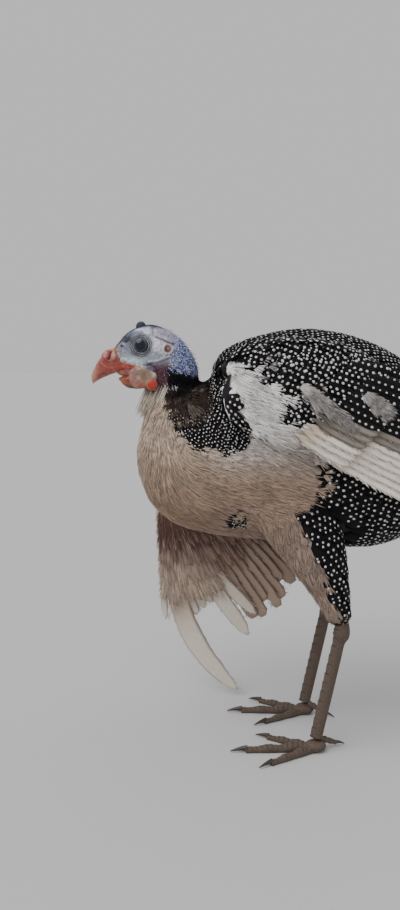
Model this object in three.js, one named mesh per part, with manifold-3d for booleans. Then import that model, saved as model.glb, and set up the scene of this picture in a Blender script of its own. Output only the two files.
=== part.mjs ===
// A young guinea fowl, about twelve weeks old, at life size, in millimetres.
// It stands on both feet on the floor z = 0, faces -X, and its left side is towards -Y.
// The left wing is folded loosely and the right wing is let down beside the breast.
// Sizes are written in the bird's own profile, whose x = 0 is at the nape and whose
// floor is at z = FLOOR. The whole bird is then moved along and up, so that the middle
// of its box stands over the origin, on the floor.

import * as THREE from 'three';
import { mergeVertices } from 'three/addons/utils/BufferGeometryUtils.js';
import Module from 'manifold-3d';

const wasm = await Module();
wasm.setup();

const ORIGIN_X = 77;
const FLOOR = -12;
const GAP = 0.3;
const CLAW_GAP = 0.6;
const LEFT = -1;
const RIGHT = 1;
const HEAD_STEPS = 18;
const HEAD_SIDES = 20;
const NECK_STEPS = 12;
const NECK_SIDES = 20;
const TORSO_STEPS = 24;
const TORSO_SIDES = 24;
const BALL = [12, 8];
const ACROSS = new THREE.Vector3(0, 1, 0);
const UP = new THREE.Vector3(0, 0, 1);

// Head
const EYE = { x: -36.5, y: 7.4, z: 243.0, radius: 6.2 };
const EYELID = { y: 11.4, radius: 5.6, thickness: 1.0, turn: -0.1, lift: 0.06 };
const EAR = { x: -19.9, y: 12.9, z: 241.0, radius: 2.5, thickness: 0.75 };
const EAR_PIT = { x: EAR.x, y: EAR.y + 0.7, z: EAR.z, length: 3.8, width: 3.4, height: 3.8 };
const CASQUE = { x: -37.4, y: 0, z: 255.4, length: 6.4, width: 5.0, height: 7.2 };
const CERE = { x: -57.0, y: 4.3, z: 235.8, length: 10.4, width: 6.2, height: 8.6, tilt: 0.35 };
const NOSTRIL = { x: -56.6, y: 7.6, z: 235.9, length: 1.8, width: 3.4, height: 4.6 };
const WATTLE = { x: -35.6, y: 11.3, z: 224.0, length: 17, width: 3.4, height: 14.2, tilt: -0.22 };
const WATTLE_FOLD = { x: -30.2, y: 12.0, z: 218.9, length: 8.4, width: 3.8, height: 7.4, tilt: 0.5 };
// Lines of the profile that part the head from the neck and the neck from the torso
const HEAD_CUT = [[4.2, 223.3], [-36, 212.1]];
const NECK_CUT = [[8.6, 221.8], [-46, 181.4]];

// Legs
const FOOT = { x: 73, y: 28, z: FLOOR + 3.7, length: 13.5, width: 10.5, height: 8.6 };
const ANKLE = FLOOR + 8;
const HOCK = { x: 88, y: 28, z: FLOOR + 78 };
// Rows: x, y, z, half width across, half width along
const THIGH_ROWS = [
  [46, 21, 168, 9, 14],
  [57, 25.5, 144, 15, 23],
  [70, 30, 119, 14, 19.5],
  [80.5, 29, 94, 9.8, 12],
  [87, 28, 73, 6.4, 7.2],
];
// Rows over the hock: how far behind and above it, half width across and along
const HOCK_ROWS = [
  [0.6, 3.5, 4.6, 4.8],
  [0, -2, 4.9, 5.4],
];
const SHANK = { wide: 3.2, deep: 3.8, from: 0.1, share: 0.85 };
const SCUTES = 9;
const SCUTE_STEP = 0.55;
const TOE_SIDES = 8;
const CLAW_SIDES = 6;
const CLAW_SHARE = 0.62;
const CLAW_TIP = FLOOR + 0.6;
const TOES = [
  { name: 'inner', turn: 0.52, length: 31, radius: 2.7, claw: 8.5 },
  { name: 'middle', turn: -0.04, length: 42, radius: 3.1, claw: 9.5 },
  { name: 'outer', turn: -0.56, length: 33, radius: 2.8, claw: 8.5 },
];
const HALLUX = { turn: 2.75, length: 12, radius: 2.1, claw: 6, height: FLOOR + 8.2, drop: 0.42 };
// Thickness of a toe at its joints and pads, from the foot to the claw
const TOE_BULGES = [1.06, 0.92, 1.04, 0.84, 0.96, 0.76, 0.8];
const TOE_TAPER = 0.12;
const TOE_SINK = 0.45;
const CLAW_STATIONS = [0, 0.35, 0.7, 1];
const CLAW_TAPER = 0.85;
const CLAW_POINT = 0.12;

// Feathers
const VANE_THICKNESS = 0.75;
const VANE_EDGE = 0.5;
// Share of the length and of the full width at each station of a vane
const ROUND_TIP = [[0, 0.3], [0.16, 0.75], [0.5, 1], [0.86, 0.8], [1, 0.25]];
const POINTED_TIP = [[0, 0.3], [0.14, 0.8], [0.5, 1], [0.8, 0.72], [1, 0.12]];
const SQUARE_TIP = [[0, 0.3], [0.2, 0.7], [0.6, 1], [0.97, 1], [1, 0.86]];

// Tail: two tiers of feathers, each from the middle outwards on both sides
const TAIL_DROOP = 0.66;
const TAIL_ROOF = 0.22;
const TAIL_PITCH = 1.0;
const TAIL_FIRST_TURN = 0.04;
const TAIL_ROOTS = [2.4, 7];
const TAIL_FANS = [
  { perSide: 7, x: 174, z: 174, longest: 62, shortest: 50, spread: 0.6, half: 6.6 },
  { perSide: 3, x: 169, z: 181.5, longest: 40, shortest: 36, spread: 0.44, half: 6.8 },
];

// Folded left wing. Rows of the arm: top x, top z, bottom x, bottom z, half width, y
const LEFT_ARM_ROWS = [
  [13, 218, 11, 208, 3, -43],
  [22, 236, 22, 196, 6.5, -47],
  [46, 246, 44, 184, 7.5, -49.5],
  [78, 243, 72, 180, 7, -49.5],
  [104, 230, 96, 186, 5, -47],
  [118, 214, 112, 199, 2.5, -45],
];
const LEFT_ARM_LEAN = [3, -1];
const LEFT_OUTWARD = [0.07, -1, 0.08];
const LEFT_FOLD = 0.16;
const LEFT_SECONDARIES = {
  count: 9, first: [62, -55.6, 186], last: [104, -52.5, 219],
  fall: [0.47, 0.3], out: 0.07, length: [84, 66], half: 7.5,
};
const LEFT_COVERTS = {
  count: 7, first: [52, -58.4, 193], last: [92, -55.4, 226],
  fall: [0.5, 0.34], out: 0.04, length: [36, 32], half: 6.5,
};
// Rows: x, y, z, half width across, half width along
const LEFT_HAND_ROWS = [
  [34, -48.5, 187, 3, 5],
  [48, -49.5, 180, 4.2, 6.5],
  [62, -49.5, 174.5, 4, 6.5],
  [74, -49, 171, 2.6, 4],
];
const LEFT_PRIMARIES = {
  count: 6, first: [50, -51.6, 182], last: [66, -46.6, 174],
  fall: [0.36, 0.46], out: 0.07, length: [96, 116], lead: 5, trail: 7.5, tip: POINTED_TIP,
};

// Lowered right wing. It hangs from the shoulder to the wrist, turned back and outwards.
// Rows of the arm: front x, y, z, rear x, y, z, half thickness
const RIGHT_ARM_ROWS = [
  [16, 33, 228, 54, 36, 226, 4],
  [4, 37, 213, 66, 42, 205, 6],
  [-9, 41, 190, 56, 47.5, 179, 6],
  [-18, 44, 168, 38, 50, 156, 5.4],
  [-25, 47.5, 147, 17, 51, 139, 4.6],
  [-27.5, 50.5, 129.5, -4, 51.5, 124.5, 3.4],
];
const WRIST = [-22.5, 51, 126];
const DROP_BACK = 0.05;
const DROP_OUT = 0.05;
const RIGHT_FOLD = 0.15;
const RIGHT_SECONDARIES = {
  count: 8, first: [-6, 51, 127], last: [32, 50.5, 163], above: 1.5,
  turn: [0.55, 0.96], length: [104, 74], half: 8, tip: SQUARE_TIP,
};
const RIGHT_COVERTS = {
  count: 6, first: [-10, 50.5, 131], last: [28, 50, 167], above: 4.2,
  turn: [0.58, 0.96], length: [42, 36], half: 7.5,
};
// Rows from the wrist: down, back, half width along the wing, half thickness
const RIGHT_HAND_ROWS = [
  [-2, 1, 5.2, 3.2],
  [18, 2, 7.4, 3.4],
  [40, 2.6, 6, 2.6],
  [54, 3, 3.5, 1.6],
];
// The long primary, three growing ones, the inner one and the alula
const RIGHT_PRIMARIES = [
  { turn: -0.04, length: 107, lead: 5, trail: 9, bend: 0.94, start: [42, 1, 0], tip: POINTED_TIP },
  { turn: 0.28, length: 34, lead: 3.5, trail: 5, bend: 0.2, start: [45, 4, 1], tip: ROUND_TIP },
  { turn: 0.4, length: 36, lead: 3.5, trail: 5, bend: 0.15, start: [40, 6, 2], tip: ROUND_TIP },
  { turn: 0.5, length: 40, lead: 4, trail: 5.5, bend: 0.1, start: [34, 7, 3], tip: ROUND_TIP },
  { turn: 0.5, length: 88, lead: 6.5, trail: 9, bend: 0.1, start: [16, 6, -1.8], tip: ROUND_TIP },
  { turn: -0.08, length: 30, lead: 2.5, trail: 3, bend: 0.1, start: [44, -1.5, -0.6], tip: POINTED_TIP },
];

// Materials
const look = (colour, roughness) =>
  new THREE.MeshStandardMaterial({ color: colour, roughness, metalness: 0 });
const SKIN = look(0xa9afba, 0.6);
const BILL = look(0xa2574b, 0.45);
const WATTLE_SKIN = look(0xb98a80, 0.55);
const CASQUE_HORN = look(0x3a3f4c, 0.5);
const EYE_GLOSS = look(0x14161d, 0.08);
const NECK_FEATHER = look(0x3c3a3f, 0.85);
const BODY_FEATHER = look(0x2e2e33, 0.85);
const PALE_FEATHER = look(0xcfc8bd, 0.85);
const LEG_SKIN = look(0x6b5a4d, 0.6);
const CLAW_HORN = look(0x4a3f38, 0.4);

const vec = (x, y, z) => new THREE.Vector3(x, y, z);

const mix = (a, b, t) => a + (b - a) * t;

const middle = (ring) => ring.reduce((sum, p) => sum.add(p), vec(0, 0, 0)).divideScalar(ring.length);

// Closed mesh from rings of equal count, capped at both ends, faces pointing out.
// Its ends are moved outwards by grow.
function loftRings(rings, grow = 0) {
  const count = rings[0].length;
  const positions = [];
  const indices = [];
  const last = rings.length - 1;
  [[0, 1], [last, last - 1]].forEach(([end, inner]) => {
    const outwards = middle(rings[end]).sub(middle(rings[inner])).setLength(grow);
    rings[end].forEach((p) => p.add(outwards));
  });
  rings.forEach((ring) => ring.forEach((p) => positions.push(p.x, p.y, p.z)));
  for (let i = 0; i + 1 < rings.length; i += 1) {
    for (let j = 0; j < count; j += 1) {
      const next = (j + 1) % count;
      const a = i * count + j;
      const b = i * count + next;
      indices.push(a, b, b + count, a, b + count, a + count);
    }
  }
  const ends = [rings[0], rings[last]];
  ends.forEach((ring, end) => {
    const centre = middle(ring);
    const base = end * last * count;
    const hub = positions.length / 3;
    positions.push(centre.x, centre.y, centre.z);
    for (let j = 0; j < count; j += 1) {
      const next = (j + 1) % count;
      if (end === 0) indices.push(hub, base + next, base + j);
      else indices.push(hub, base + j, base + next);
    }
  });
  const geometry = new THREE.BufferGeometry();
  geometry.setAttribute('position', new THREE.Float32BufferAttribute(positions, 3));
  geometry.setIndex(indices);
  return faceOut(geometry);
}

// Turns the triangles round if the mesh encloses a negative volume.
function faceOut(geometry) {
  const position = geometry.attributes.position;
  const index = geometry.index.array;
  const corner = [vec(0, 0, 0), vec(0, 0, 0), vec(0, 0, 0)];
  let volume = 0;
  for (let i = 0; i < index.length; i += 3) {
    corner.forEach((p, k) => p.fromBufferAttribute(position, index[i + k]));
    volume += corner[0].dot(corner[1].clone().cross(corner[2]));
  }
  if (volume < 0) {
    for (let i = 0; i < index.length; i += 3) {
      const first = index[i];
      index[i] = index[i + 1];
      index[i + 1] = first;
    }
  }
  return geometry;
}

function toSolid(geometry) {
  const plain = geometry.clone();
  plain.deleteAttribute('normal');
  plain.deleteAttribute('uv');
  const merged = mergeVertices(plain, 1e-4);
  return new wasm.Manifold(new wasm.Mesh({
    numProp: 3,
    vertProperties: new Float32Array(merged.attributes.position.array),
    triVerts: new Uint32Array(merged.index.array),
  }));
}

function toGeometry(solid) {
  const mesh = solid.getMesh();
  const geometry = new THREE.BufferGeometry();
  geometry.setAttribute('position', new THREE.BufferAttribute(mesh.vertProperties, 3));
  geometry.setIndex(new THREE.BufferAttribute(mesh.triVerts, 1));
  return geometry;
}

function largestBody(solid) {
  return solid.decompose().reduce((best, body) => (body.volume() > best.volume() ? body : best));
}

function join(solids) {
  return solids.reduce((whole, solid) => whole.add(solid));
}

// Values of a list of stations, each a row of numbers, on one smooth curve.
function smoothRows(rows, steps) {
  const width = rows[0].length;
  const curves = [];
  for (let k = 0; k < width; k += 3) {
    const points = rows.map((row) => vec(row[k], row[k + 1] ?? 0, row[k + 2] ?? 0));
    curves.push(new THREE.CatmullRomCurve3(points, false, 'catmullrom', 0.5));
  }
  return Array.from({ length: steps + 1 }, (_, i) => {
    const values = curves.flatMap((curve) => curve.getPoint(i / steps).toArray());
    return values.slice(0, width);
  });
}

// An oval ring between the points a and b, half as wide as 2 * half towards side.
function ovalRing(a, b, half, side, sides, grow = 0, power = 2.15) {
  const centre = a.clone().add(b).multiplyScalar(0.5);
  const axis = a.clone().sub(b).multiplyScalar(0.5);
  axis.setLength(axis.length() + grow);
  return Array.from({ length: sides }, (_, j) => {
    const angle = (j * 2 * Math.PI) / sides;
    const round = (v) => Math.sign(v) * Math.abs(v) ** (2 / power);
    return centre.clone()
      .addScaledVector(axis, round(Math.cos(angle)))
      .addScaledVector(side, (half + grow) * round(Math.sin(angle)));
  });
}

// Body of the bird from rows of top x, top z, bottom x, bottom z and half width.
function profileLoft(rows, steps, sides, grow = 0) {
  const rings = smoothRows(rows, steps).map(([topX, topZ, lowX, lowZ, half]) =>
    ovalRing(vec(topX, 0, topZ), vec(lowX, 0, lowZ), half, ACROSS, sides, grow));
  return toSolid(loftRings(rings, grow));
}

// A limb from rows of centre x, y, z, radius across and radius along the third way.
function limbLoft(rows, steps, sides, across, grow = 0) {
  const stations = smoothRows(rows, steps);
  const rings = stations.map(([x, y, z, wide, deep], i) => {
    const before = stations[Math.max(i - 1, 0)];
    const after = stations[Math.min(i + 1, stations.length - 1)];
    const along = vec(after[0] - before[0], after[1] - before[1], after[2] - before[2]).normalize();
    const third = along.clone().cross(across).normalize();
    const side = third.clone().cross(along).normalize();
    const centre = vec(x, y, z);
    const a = centre.clone().addScaledVector(third, deep);
    const b = centre.clone().addScaledVector(third, -deep);
    return ovalRing(a, b, wide, side, sides, grow, 2);
  });
  return toSolid(loftRings(rings, grow));
}

const cube = (size) => ({ length: size, width: size, height: size });

function ball({ x, y, z, length, width, height, tilt = 0 }, side = 1, detail = BALL) {
  const geometry = new THREE.SphereGeometry(0.5, detail[0], detail[1]);
  geometry.scale(length, width, height);
  geometry.rotateY(tilt);
  geometry.translate(x, y * side, z);
  return toSolid(geometry);
}

function ring(centre, normal, radius, thickness, detail = [8, 20]) {
  const geometry = new THREE.TorusGeometry(radius, thickness, detail[0], detail[1]);
  const turn = new THREE.Quaternion().setFromUnitVectors(UP, normal.clone().normalize());
  geometry.applyQuaternion(turn);
  geometry.translate(centre.x, centre.y, centre.z);
  return toSolid(geometry);
}

// A thin slab across the body through two points of its profile.
function profileSlab([x1, z1], [x2, z2], thickness, halfWidth) {
  const length = Math.hypot(x2 - x1, z2 - z1);
  const geometry = new THREE.BoxGeometry(length, 2 * halfWidth, thickness);
  geometry.rotateY(-Math.atan2(z2 - z1, x2 - x1));
  geometry.translate((x1 + x2) / 2, 0, (z1 + z2) / 2);
  return toSolid(geometry);
}

function floorCut(solid) {
  const size = 600;
  const geometry = new THREE.BoxGeometry(size, size, size);
  geometry.translate(0, 0, FLOOR - size / 2);
  return solid.subtract(toSolid(geometry));
}

// One feather: a thin vane whose shaft starts at root and runs along direction.
// lead and trail are its widths on the two sides of the shaft, bend turns it in its
// own plane towards the trailing side and droop turns it away from its upper face.
function vane({ root, direction, normal, length, lead, trail, bend = 0, droop = 0, tip = ROUND_TIP }) {
  const along = direction.clone().normalize();
  const upper = normal.clone().addScaledVector(along, -normal.dot(along)).normalize();
  const side = along.clone().cross(upper).normalize();
  const point = root.clone();
  let before = 0;
  const top = [];
  const bottom = [];
  tip.forEach(([t, width]) => {
    const step = (t - before) * length;
    const turn = bend * (t + before) * 0.5;
    const sink = droop * (t + before) * 0.5;
    const heading = along.clone().multiplyScalar(Math.cos(turn))
      .addScaledVector(side, Math.sin(turn)).normalize();
    heading.multiplyScalar(Math.cos(sink)).addScaledVector(upper, -Math.sin(sink));
    point.addScaledVector(heading, step);
    const out = side.clone().multiplyScalar(Math.cos(bend * t))
      .addScaledVector(along, -Math.sin(bend * t));
    const half = (offset, thick) => point.clone().addScaledVector(out, offset)
      .addScaledVector(upper, thick / 2);
    const leadEdge = -lead * width;
    const trailEdge = trail * width;
    top.push([half(leadEdge, VANE_EDGE), half(0, VANE_THICKNESS), half(trailEdge, VANE_EDGE)]);
    bottom.push([half(leadEdge, -VANE_EDGE), half(0, -VANE_THICKNESS), half(trailEdge, -VANE_EDGE)]);
    before = t;
  });
  const positions = [];
  top.forEach((row, i) => [...row, ...bottom[i]].forEach((p) => positions.push(p.x, p.y, p.z)));
  const indices = [];
  const quad = (a, b, c, d) => indices.push(a, b, c, a, c, d);
  for (let i = 0; i + 1 < top.length; i += 1) {
    const here = i * 6;
    const next = here + 6;
    for (let k = 0; k < 2; k += 1) {
      quad(here + k, here + k + 1, next + k + 1, next + k);
      indices.push(here + 3 + k, next + 4 + k, here + 4 + k);
      indices.push(here + 3 + k, next + 3 + k, next + 4 + k);
    }
    quad(here, next, next + 3, here + 3);
    quad(here + 2, here + 5, next + 5, next + 2);
  }
  const last = (top.length - 1) * 6;
  for (let k = 0; k < 2; k += 1) {
    quad(k, k + 3, k + 4, k + 1);
    quad(last + k, last + k + 1, last + k + 4, last + k + 3);
  }
  const geometry = new THREE.BufferGeometry();
  geometry.setAttribute('position', new THREE.Float32BufferAttribute(positions, 3));
  geometry.setIndex(indices);
  return toSolid(faceOut(geometry));
}

// Rows: top x, top z, bottom x, bottom z, half width.
const TORSO_ROWS = [
  [-38.4, 181, -38.4, 171, 6.5],
  [-35.5, 193, -36.5, 158, 19],
  [-26, 203, -29.5, 141.5, 28.5],
  [-9, 211, -15, 129, 35],
  [7.5, 220.5, 5, 123.4, 39],
  [10.6, 234.5, 12, 122, 39.7],
  [22, 245, 25, 120.4, 41.5],
  [45, 252, 48, 118.5, 43.5],
  [67, 254.5, 70, 116.5, 44.5],
  [92, 251, 95, 114, 44],
  [117, 241.5, 115, 115.5, 41.5],
  [138, 227, 132, 123, 36.5],
  [153, 211, 147, 138, 29.5],
  [163, 198, 158, 155, 22],
  [170, 189, 166.5, 170.5, 14.5],
];
const NECK_ROWS = [
  [-4, 224.5, -30, 217, 11.6],
  [-1, 221.8, -29, 214, 11.8],
  [1.2, 218.6, -32.2, 207.5, 13],
  [4.5, 219, -35, 199, 16.5],
  [9, 221.6, -37.3, 191, 21.5],
  [14, 221, -38.4, 182, 27],
  [18, 217, -38.6, 173, 31],
  [20, 205, -37, 161, 33],
];
const HEAD_ROWS = [
  [-56.5, 239.5, -53, 231, 4.5],
  [-52.4, 244.3, -47.5, 226.5, 7.2],
  [-46.6, 250.8, -42.5, 221, 9.9],
  [-40, 254.6, -37.6, 217.6, 12],
  [-31.3, 256.6, -33.2, 215.9, 13.1],
  [-22, 254, -30.9, 215, 13.5],
  [-13.2, 248.2, -29.9, 214.6, 13.6],
  [-5.6, 238.4, -29.3, 214.4, 13.2],
  [-2, 229.5, -29, 214.2, 12.4],
  [-1, 221.8, -29, 214, 11.8],
  [-0.8, 220, -29.6, 212.5, 11.9],
];
const UPPER_BILL_ROWS = [
  [-47, 240.5, -43, 230.5, 6],
  [-54, 241.6, -48, 228, 6.9],
  [-59.5, 240.3, -53.5, 226.2, 6.4],
  [-63, 236, -58.5, 224.5, 5.2],
  [-65.8, 231.8, -62.5, 222.8, 4],
  [-68, 227.5, -65.3, 221.3, 2.7],
  [-69.2, 223.8, -67, 220.3, 1.5],
  [-68.4, 219.6, -67.8, 219.4, 0.4],
];
const LOWER_BILL_ROWS = [
  [-34, 224, -34.5, 216.4, 6.5],
  [-40, 227, -40.5, 216, 6.3],
  [-45, 226, -45.5, 216.6, 5.2],
  [-49, 224.4, -49, 218.6, 3.6],
  [-51.8, 223, -51.5, 221.6, 1.4],
];
const TAIL_CORE_ROWS = [
  [160, 201, 158, 165, 19],
  [168, 191.5, 165.5, 168.5, 15.5],
  [176, 183.5, 172, 164.5, 13],
  [184, 175, 180, 160, 10],
  [190, 167, 187, 158.5, 6],
];

const parts = [];
const add = (name, solid, material) => parts.push({ name, solid: largestBody(solid), material });

// Head, neck and torso are one form, parted by thin cuts.
function fleshForm() {
  const head = profileLoft(HEAD_ROWS, HEAD_STEPS, HEAD_SIDES);
  const neck = profileLoft(NECK_ROWS, NECK_STEPS, NECK_SIDES);
  const torso = profileLoft(TORSO_ROWS, TORSO_STEPS, TORSO_SIDES);
  return join([head, neck, torso]);
}

function partFlesh() {
  const headCut = profileSlab(...HEAD_CUT, GAP, 30);
  const neckCut = profileSlab(...NECK_CUT, GAP, 60);
  const pieces = fleshForm().subtract(headCut).subtract(neckCut).decompose()
    .sort((a, b) => b.volume() - a.volume()).slice(0, 3);
  const height = (piece) => piece.boundingBox().min[2];
  const [torso, neck, head] = pieces.sort((a, b) => height(a) - height(b));
  return { torso, neck, head };
}

const bothSides = [['left', LEFT], ['right', RIGHT]];

function dressHead(head) {
  let dressed = head;
  const socket = { ...EYE, ...cube(2 * (EYE.radius + GAP)) };
  bothSides.forEach(([, side]) => {
    const lid = vec(EYE.x, EYELID.y * side, EYE.z);
    const lidFace = vec(EYELID.turn, side, EYELID.lift);
    const ear = vec(EAR.x, EAR.y * side, EAR.z);
    dressed = join([
      dressed,
      ring(lid, lidFace, EYELID.radius, EYELID.thickness, [6, 14]),
      ring(ear, vec(-EYELID.turn, side, 0), EAR.radius, EAR.thickness, [5, 9]),
    ]).subtract(ball(socket, side, [14, 8])).subtract(ball(EAR_PIT, side, [8, 6]));
  });
  return dressed;
}

function makeHead(head) {
  const headSpace = profileLoft(HEAD_ROWS, HEAD_STEPS, HEAD_SIDES, 2.3 * GAP);
  const upperSpace = profileLoft(UPPER_BILL_ROWS, 14, 14, 1.5 * GAP);
  const nostrils = bothSides.map(([, side]) => ball(NOSTRIL, side, [8, 6]));
  const cere = bothSides.map(([, side]) => ball(CERE, side));
  const upper = join([profileLoft(UPPER_BILL_ROWS, 14, 14), ...cere])
    .subtract(headSpace).subtract(join(nostrils));
  const lower = profileLoft(LOWER_BILL_ROWS, 8, 12).subtract(headSpace).subtract(upperSpace);
  const lowerSpace = profileLoft(LOWER_BILL_ROWS, 8, 12, GAP);
  add('head', dressHead(head), SKIN);
  add('bill_upper', upper, BILL);
  add('bill_lower', lower, BILL);
  add('casque', ball(CASQUE).subtract(headSpace), CASQUE_HORN);
  bothSides.forEach(([name, side]) => {
    const eye = ball({ ...EYE, ...cube(2 * EYE.radius) }, side, [14, 8]);
    add(`eye_${name}`, eye, EYE_GLOSS);
    const wattle = join([ball(WATTLE, side), ball(WATTLE_FOLD, side, [10, 6])]);
    const clear = wattle.subtract(headSpace).subtract(upperSpace).subtract(lowerSpace);
    add(`wattle_${name}`, clear, WATTLE_SKIN);
  });
}

// A leg: feathered thigh, scaled shank, foot pad, three front toes and a hind toe.
function shankRows(side) {
  const y = side * HOCK.y;
  const rows = HOCK_ROWS.map(([back, up, wide, deep]) => [HOCK.x + back, y, HOCK.z + up, wide, deep]);
  const plates = 2 * SCUTES;
  for (let i = 0; i <= plates; i += 1) {
    const t = SHANK.from + (SHANK.share * i) / plates;
    const step = i % 2 === 0 ? 0 : SCUTE_STEP;
    const x = mix(HOCK.x, FOOT.x, t);
    const z = mix(HOCK.z, ANKLE, t);
    rows.push([x, y, z, SHANK.wide + step * 0.5, SHANK.deep + step]);
  }
  return rows;
}

function straightLoft(rows, sides, across, grow = 0) {
  return limbLoft(rows, rows.length - 1, sides, across, grow);
}

function toeRows(start, heading, toe, drop) {
  return TOE_BULGES.map((swell, i) => {
    const t = i / (TOE_BULGES.length - 1);
    const radius = toe.radius * swell * (1 - TOE_TAPER * t);
    const at = start.clone().addScaledVector(heading, toe.length * t);
    const z = at.z + (drop === 0 ? radius - TOE_SINK : -drop * t);
    return [at.x, at.y, z, radius, radius];
  });
}

function clawRows(start, heading, claw, radius) {
  return CLAW_STATIONS.map((t) => {
    const at = start.clone().addScaledVector(heading, claw * t);
    const size = radius * (1 - CLAW_TAPER * t) + CLAW_POINT;
    const z = Math.max(start.z + 0.5 - (start.z - CLAW_TIP) * t * t, FLOOR + size + 0.25);
    return [at.x, at.y, z, size * 0.8, size];
  });
}

function makeLeg(name, side, torsoSpace) {
  const thighRows = THIGH_ROWS.map(([x, y, ...rest]) => [x, side * y, ...rest]);
  const shankSpace = straightLoft(shankRows(side), 10, ACROSS, 1.3 * GAP);
  const thigh = limbLoft(thighRows, 10, 16, ACROSS).subtract(torsoSpace).subtract(shankSpace);
  add(`thigh_${name}`, thigh, BODY_FEATHER);

  const room = 2.6 * GAP;
  const padSpace = ball({
    ...FOOT,
    length: FOOT.length + room,
    width: FOOT.width + room,
    height: FOOT.height + room,
  }, side);
  const shank = straightLoft(shankRows(side), 10, ACROSS).subtract(padSpace);
  add(`shank_${name}`, shank, LEG_SKIN);
  add(`foot_${name}`, floorCut(ball(FOOT, side)), LEG_SKIN);

  const toes = TOES.map((toe) => {
    const heading = vec(-Math.cos(toe.turn), -side * Math.sin(toe.turn), 0);
    const across = UP.clone().cross(heading);
    const start = vec(FOOT.x, side * FOOT.y, FLOOR).addScaledVector(heading, 2);
    return { ...toe, heading, across, start, rows: toeRows(start, heading, toe, 0) };
  });
  const middleToe = toes.find((toe) => toe.name === 'middle');
  const middleSpace = straightLoft(middleToe.rows, TOE_SIDES, middleToe.across, 1.2 * GAP);
  toes.forEach(({ name: toeName, heading, across, start, rows, length, radius, claw }) => {
    const whole = floorCut(straightLoft(rows, TOE_SIDES, across)).subtract(padSpace);
    const body = toeName === 'middle' ? whole : whole.subtract(middleSpace);
    add(`toe_${name}_${toeName}`, body, LEG_SKIN);
    const tip = start.clone().addScaledVector(heading, length + CLAW_GAP);
    tip.z = FLOOR + radius * 0.75;
    const horn = straightLoft(clawRows(tip, heading, claw, radius * CLAW_SHARE), CLAW_SIDES, across);
    add(`claw_${name}_${toeName}`, horn, CLAW_HORN);
  });

  const heading = vec(-Math.cos(HALLUX.turn), -side * Math.sin(HALLUX.turn), 0);
  const across = UP.clone().cross(heading);
  const start = vec(FOOT.x, side * FOOT.y, HALLUX.height).addScaledVector(heading, 3);
  const drop = HALLUX.length * HALLUX.drop;
  const hind = straightLoft(toeRows(start, heading, HALLUX, drop), TOE_SIDES, across);
  add(`toe_${name}_hind`, hind.subtract(padSpace).subtract(shankSpace), LEG_SKIN);
  const tip = start.clone().addScaledVector(heading, HALLUX.length + 1.5 * CLAW_GAP);
  tip.z = HALLUX.height - drop - 0.2;
  const radius = HALLUX.radius * CLAW_SHARE;
  const claw = straightLoft(clawRows(tip, heading, HALLUX.claw, radius), CLAW_SIDES, across);
  add(`claw_${name}_hind`, claw, CLAW_HORN);
}

// A row of feathers between two roots, each set on its own place and heading.
function featherRow(count, make) {
  return Array.from({ length: count }, (_, i) => vane(make(count > 1 ? i / (count - 1) : 0, i)));
}

const point = (place) => vec(...place);
const between = (a, b, t) => point(a).lerp(point(b), t);

function makeTail() {
  const core = profileLoft(TAIL_CORE_ROWS, 8, 16);
  const along = vec(Math.cos(TAIL_DROOP), 0, -Math.sin(TAIL_DROOP));
  const vanes = TAIL_FANS.flatMap((fan) => bothSides.flatMap(([, side]) =>
    featherRow(fan.perSide, (t, i) => {
      const roof = i === 0 ? 0.02 : TAIL_ROOF;
      const upper = vec(Math.sin(TAIL_DROOP), 0, Math.cos(TAIL_DROOP))
        .applyAxisAngle(along, -side * roof);
      const out = along.clone().cross(upper).multiplyScalar(-side);
      const turn = mix(TAIL_FIRST_TURN, fan.spread, t);
      const level = i === 0 && side === LEFT ? 0.8 : i + (i > 0 ? 0.9 : 0);
      return {
        root: vec(fan.x, 0, fan.z).addScaledVector(out, mix(...TAIL_ROOTS, t))
          .addScaledVector(upper, -TAIL_PITCH * level),
        direction: along.clone().multiplyScalar(Math.cos(turn)).addScaledVector(out, Math.sin(turn)),
        normal: upper,
        length: mix(fan.longest, fan.shortest, t * t),
        lead: fan.half,
        trail: fan.half,
      };
    })));
  return join([core, ...vanes]);
}

// Feathers of the folded wing: fall turns them below the level, out away from the body.
function leftRow({ count, first, last, fall, out, length, half, lead = half, trail = half, tip }, fold) {
  const outward = point(LEFT_OUTWARD).normalize();
  return featherRow(count, (t) => {
    const down = mix(...fall, t);
    const direction = vec(Math.cos(down), out, -Math.sin(down)).normalize();
    return {
      root: between(first, last, t),
      direction,
      normal: outward.clone().applyAxisAngle(direction, -fold),
      length: mix(...length, t),
      lead,
      trail,
      tip,
    };
  });
}

function makeLeftWing(torsoSpace) {
  const [topLean, lowLean] = LEFT_ARM_LEAN;
  const armLoft = (grow) => toSolid(loftRings(smoothRows(LEFT_ARM_ROWS, 10)
    .map(([topX, topZ, lowX, lowZ, half, y]) => {
      const top = vec(topX, y + topLean, topZ);
      return ovalRing(top, vec(lowX, y + lowLean, lowZ), half, ACROSS, 16, grow);
    }), grow));
  const feathers = [LEFT_SECONDARIES, LEFT_COVERTS].flatMap((row) => leftRow(row, LEFT_FOLD));
  add('wing_left', join([armLoft(0), ...feathers]).subtract(torsoSpace), BODY_FEATHER);

  const hand = join([limbLoft(LEFT_HAND_ROWS, 6, 12, ACROSS), ...leftRow(LEFT_PRIMARIES, 0)]);
  add('wing_left_hand', hand.subtract(armLoft(1.6 * GAP)).subtract(torsoSpace), PALE_FEATHER);
}

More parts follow.
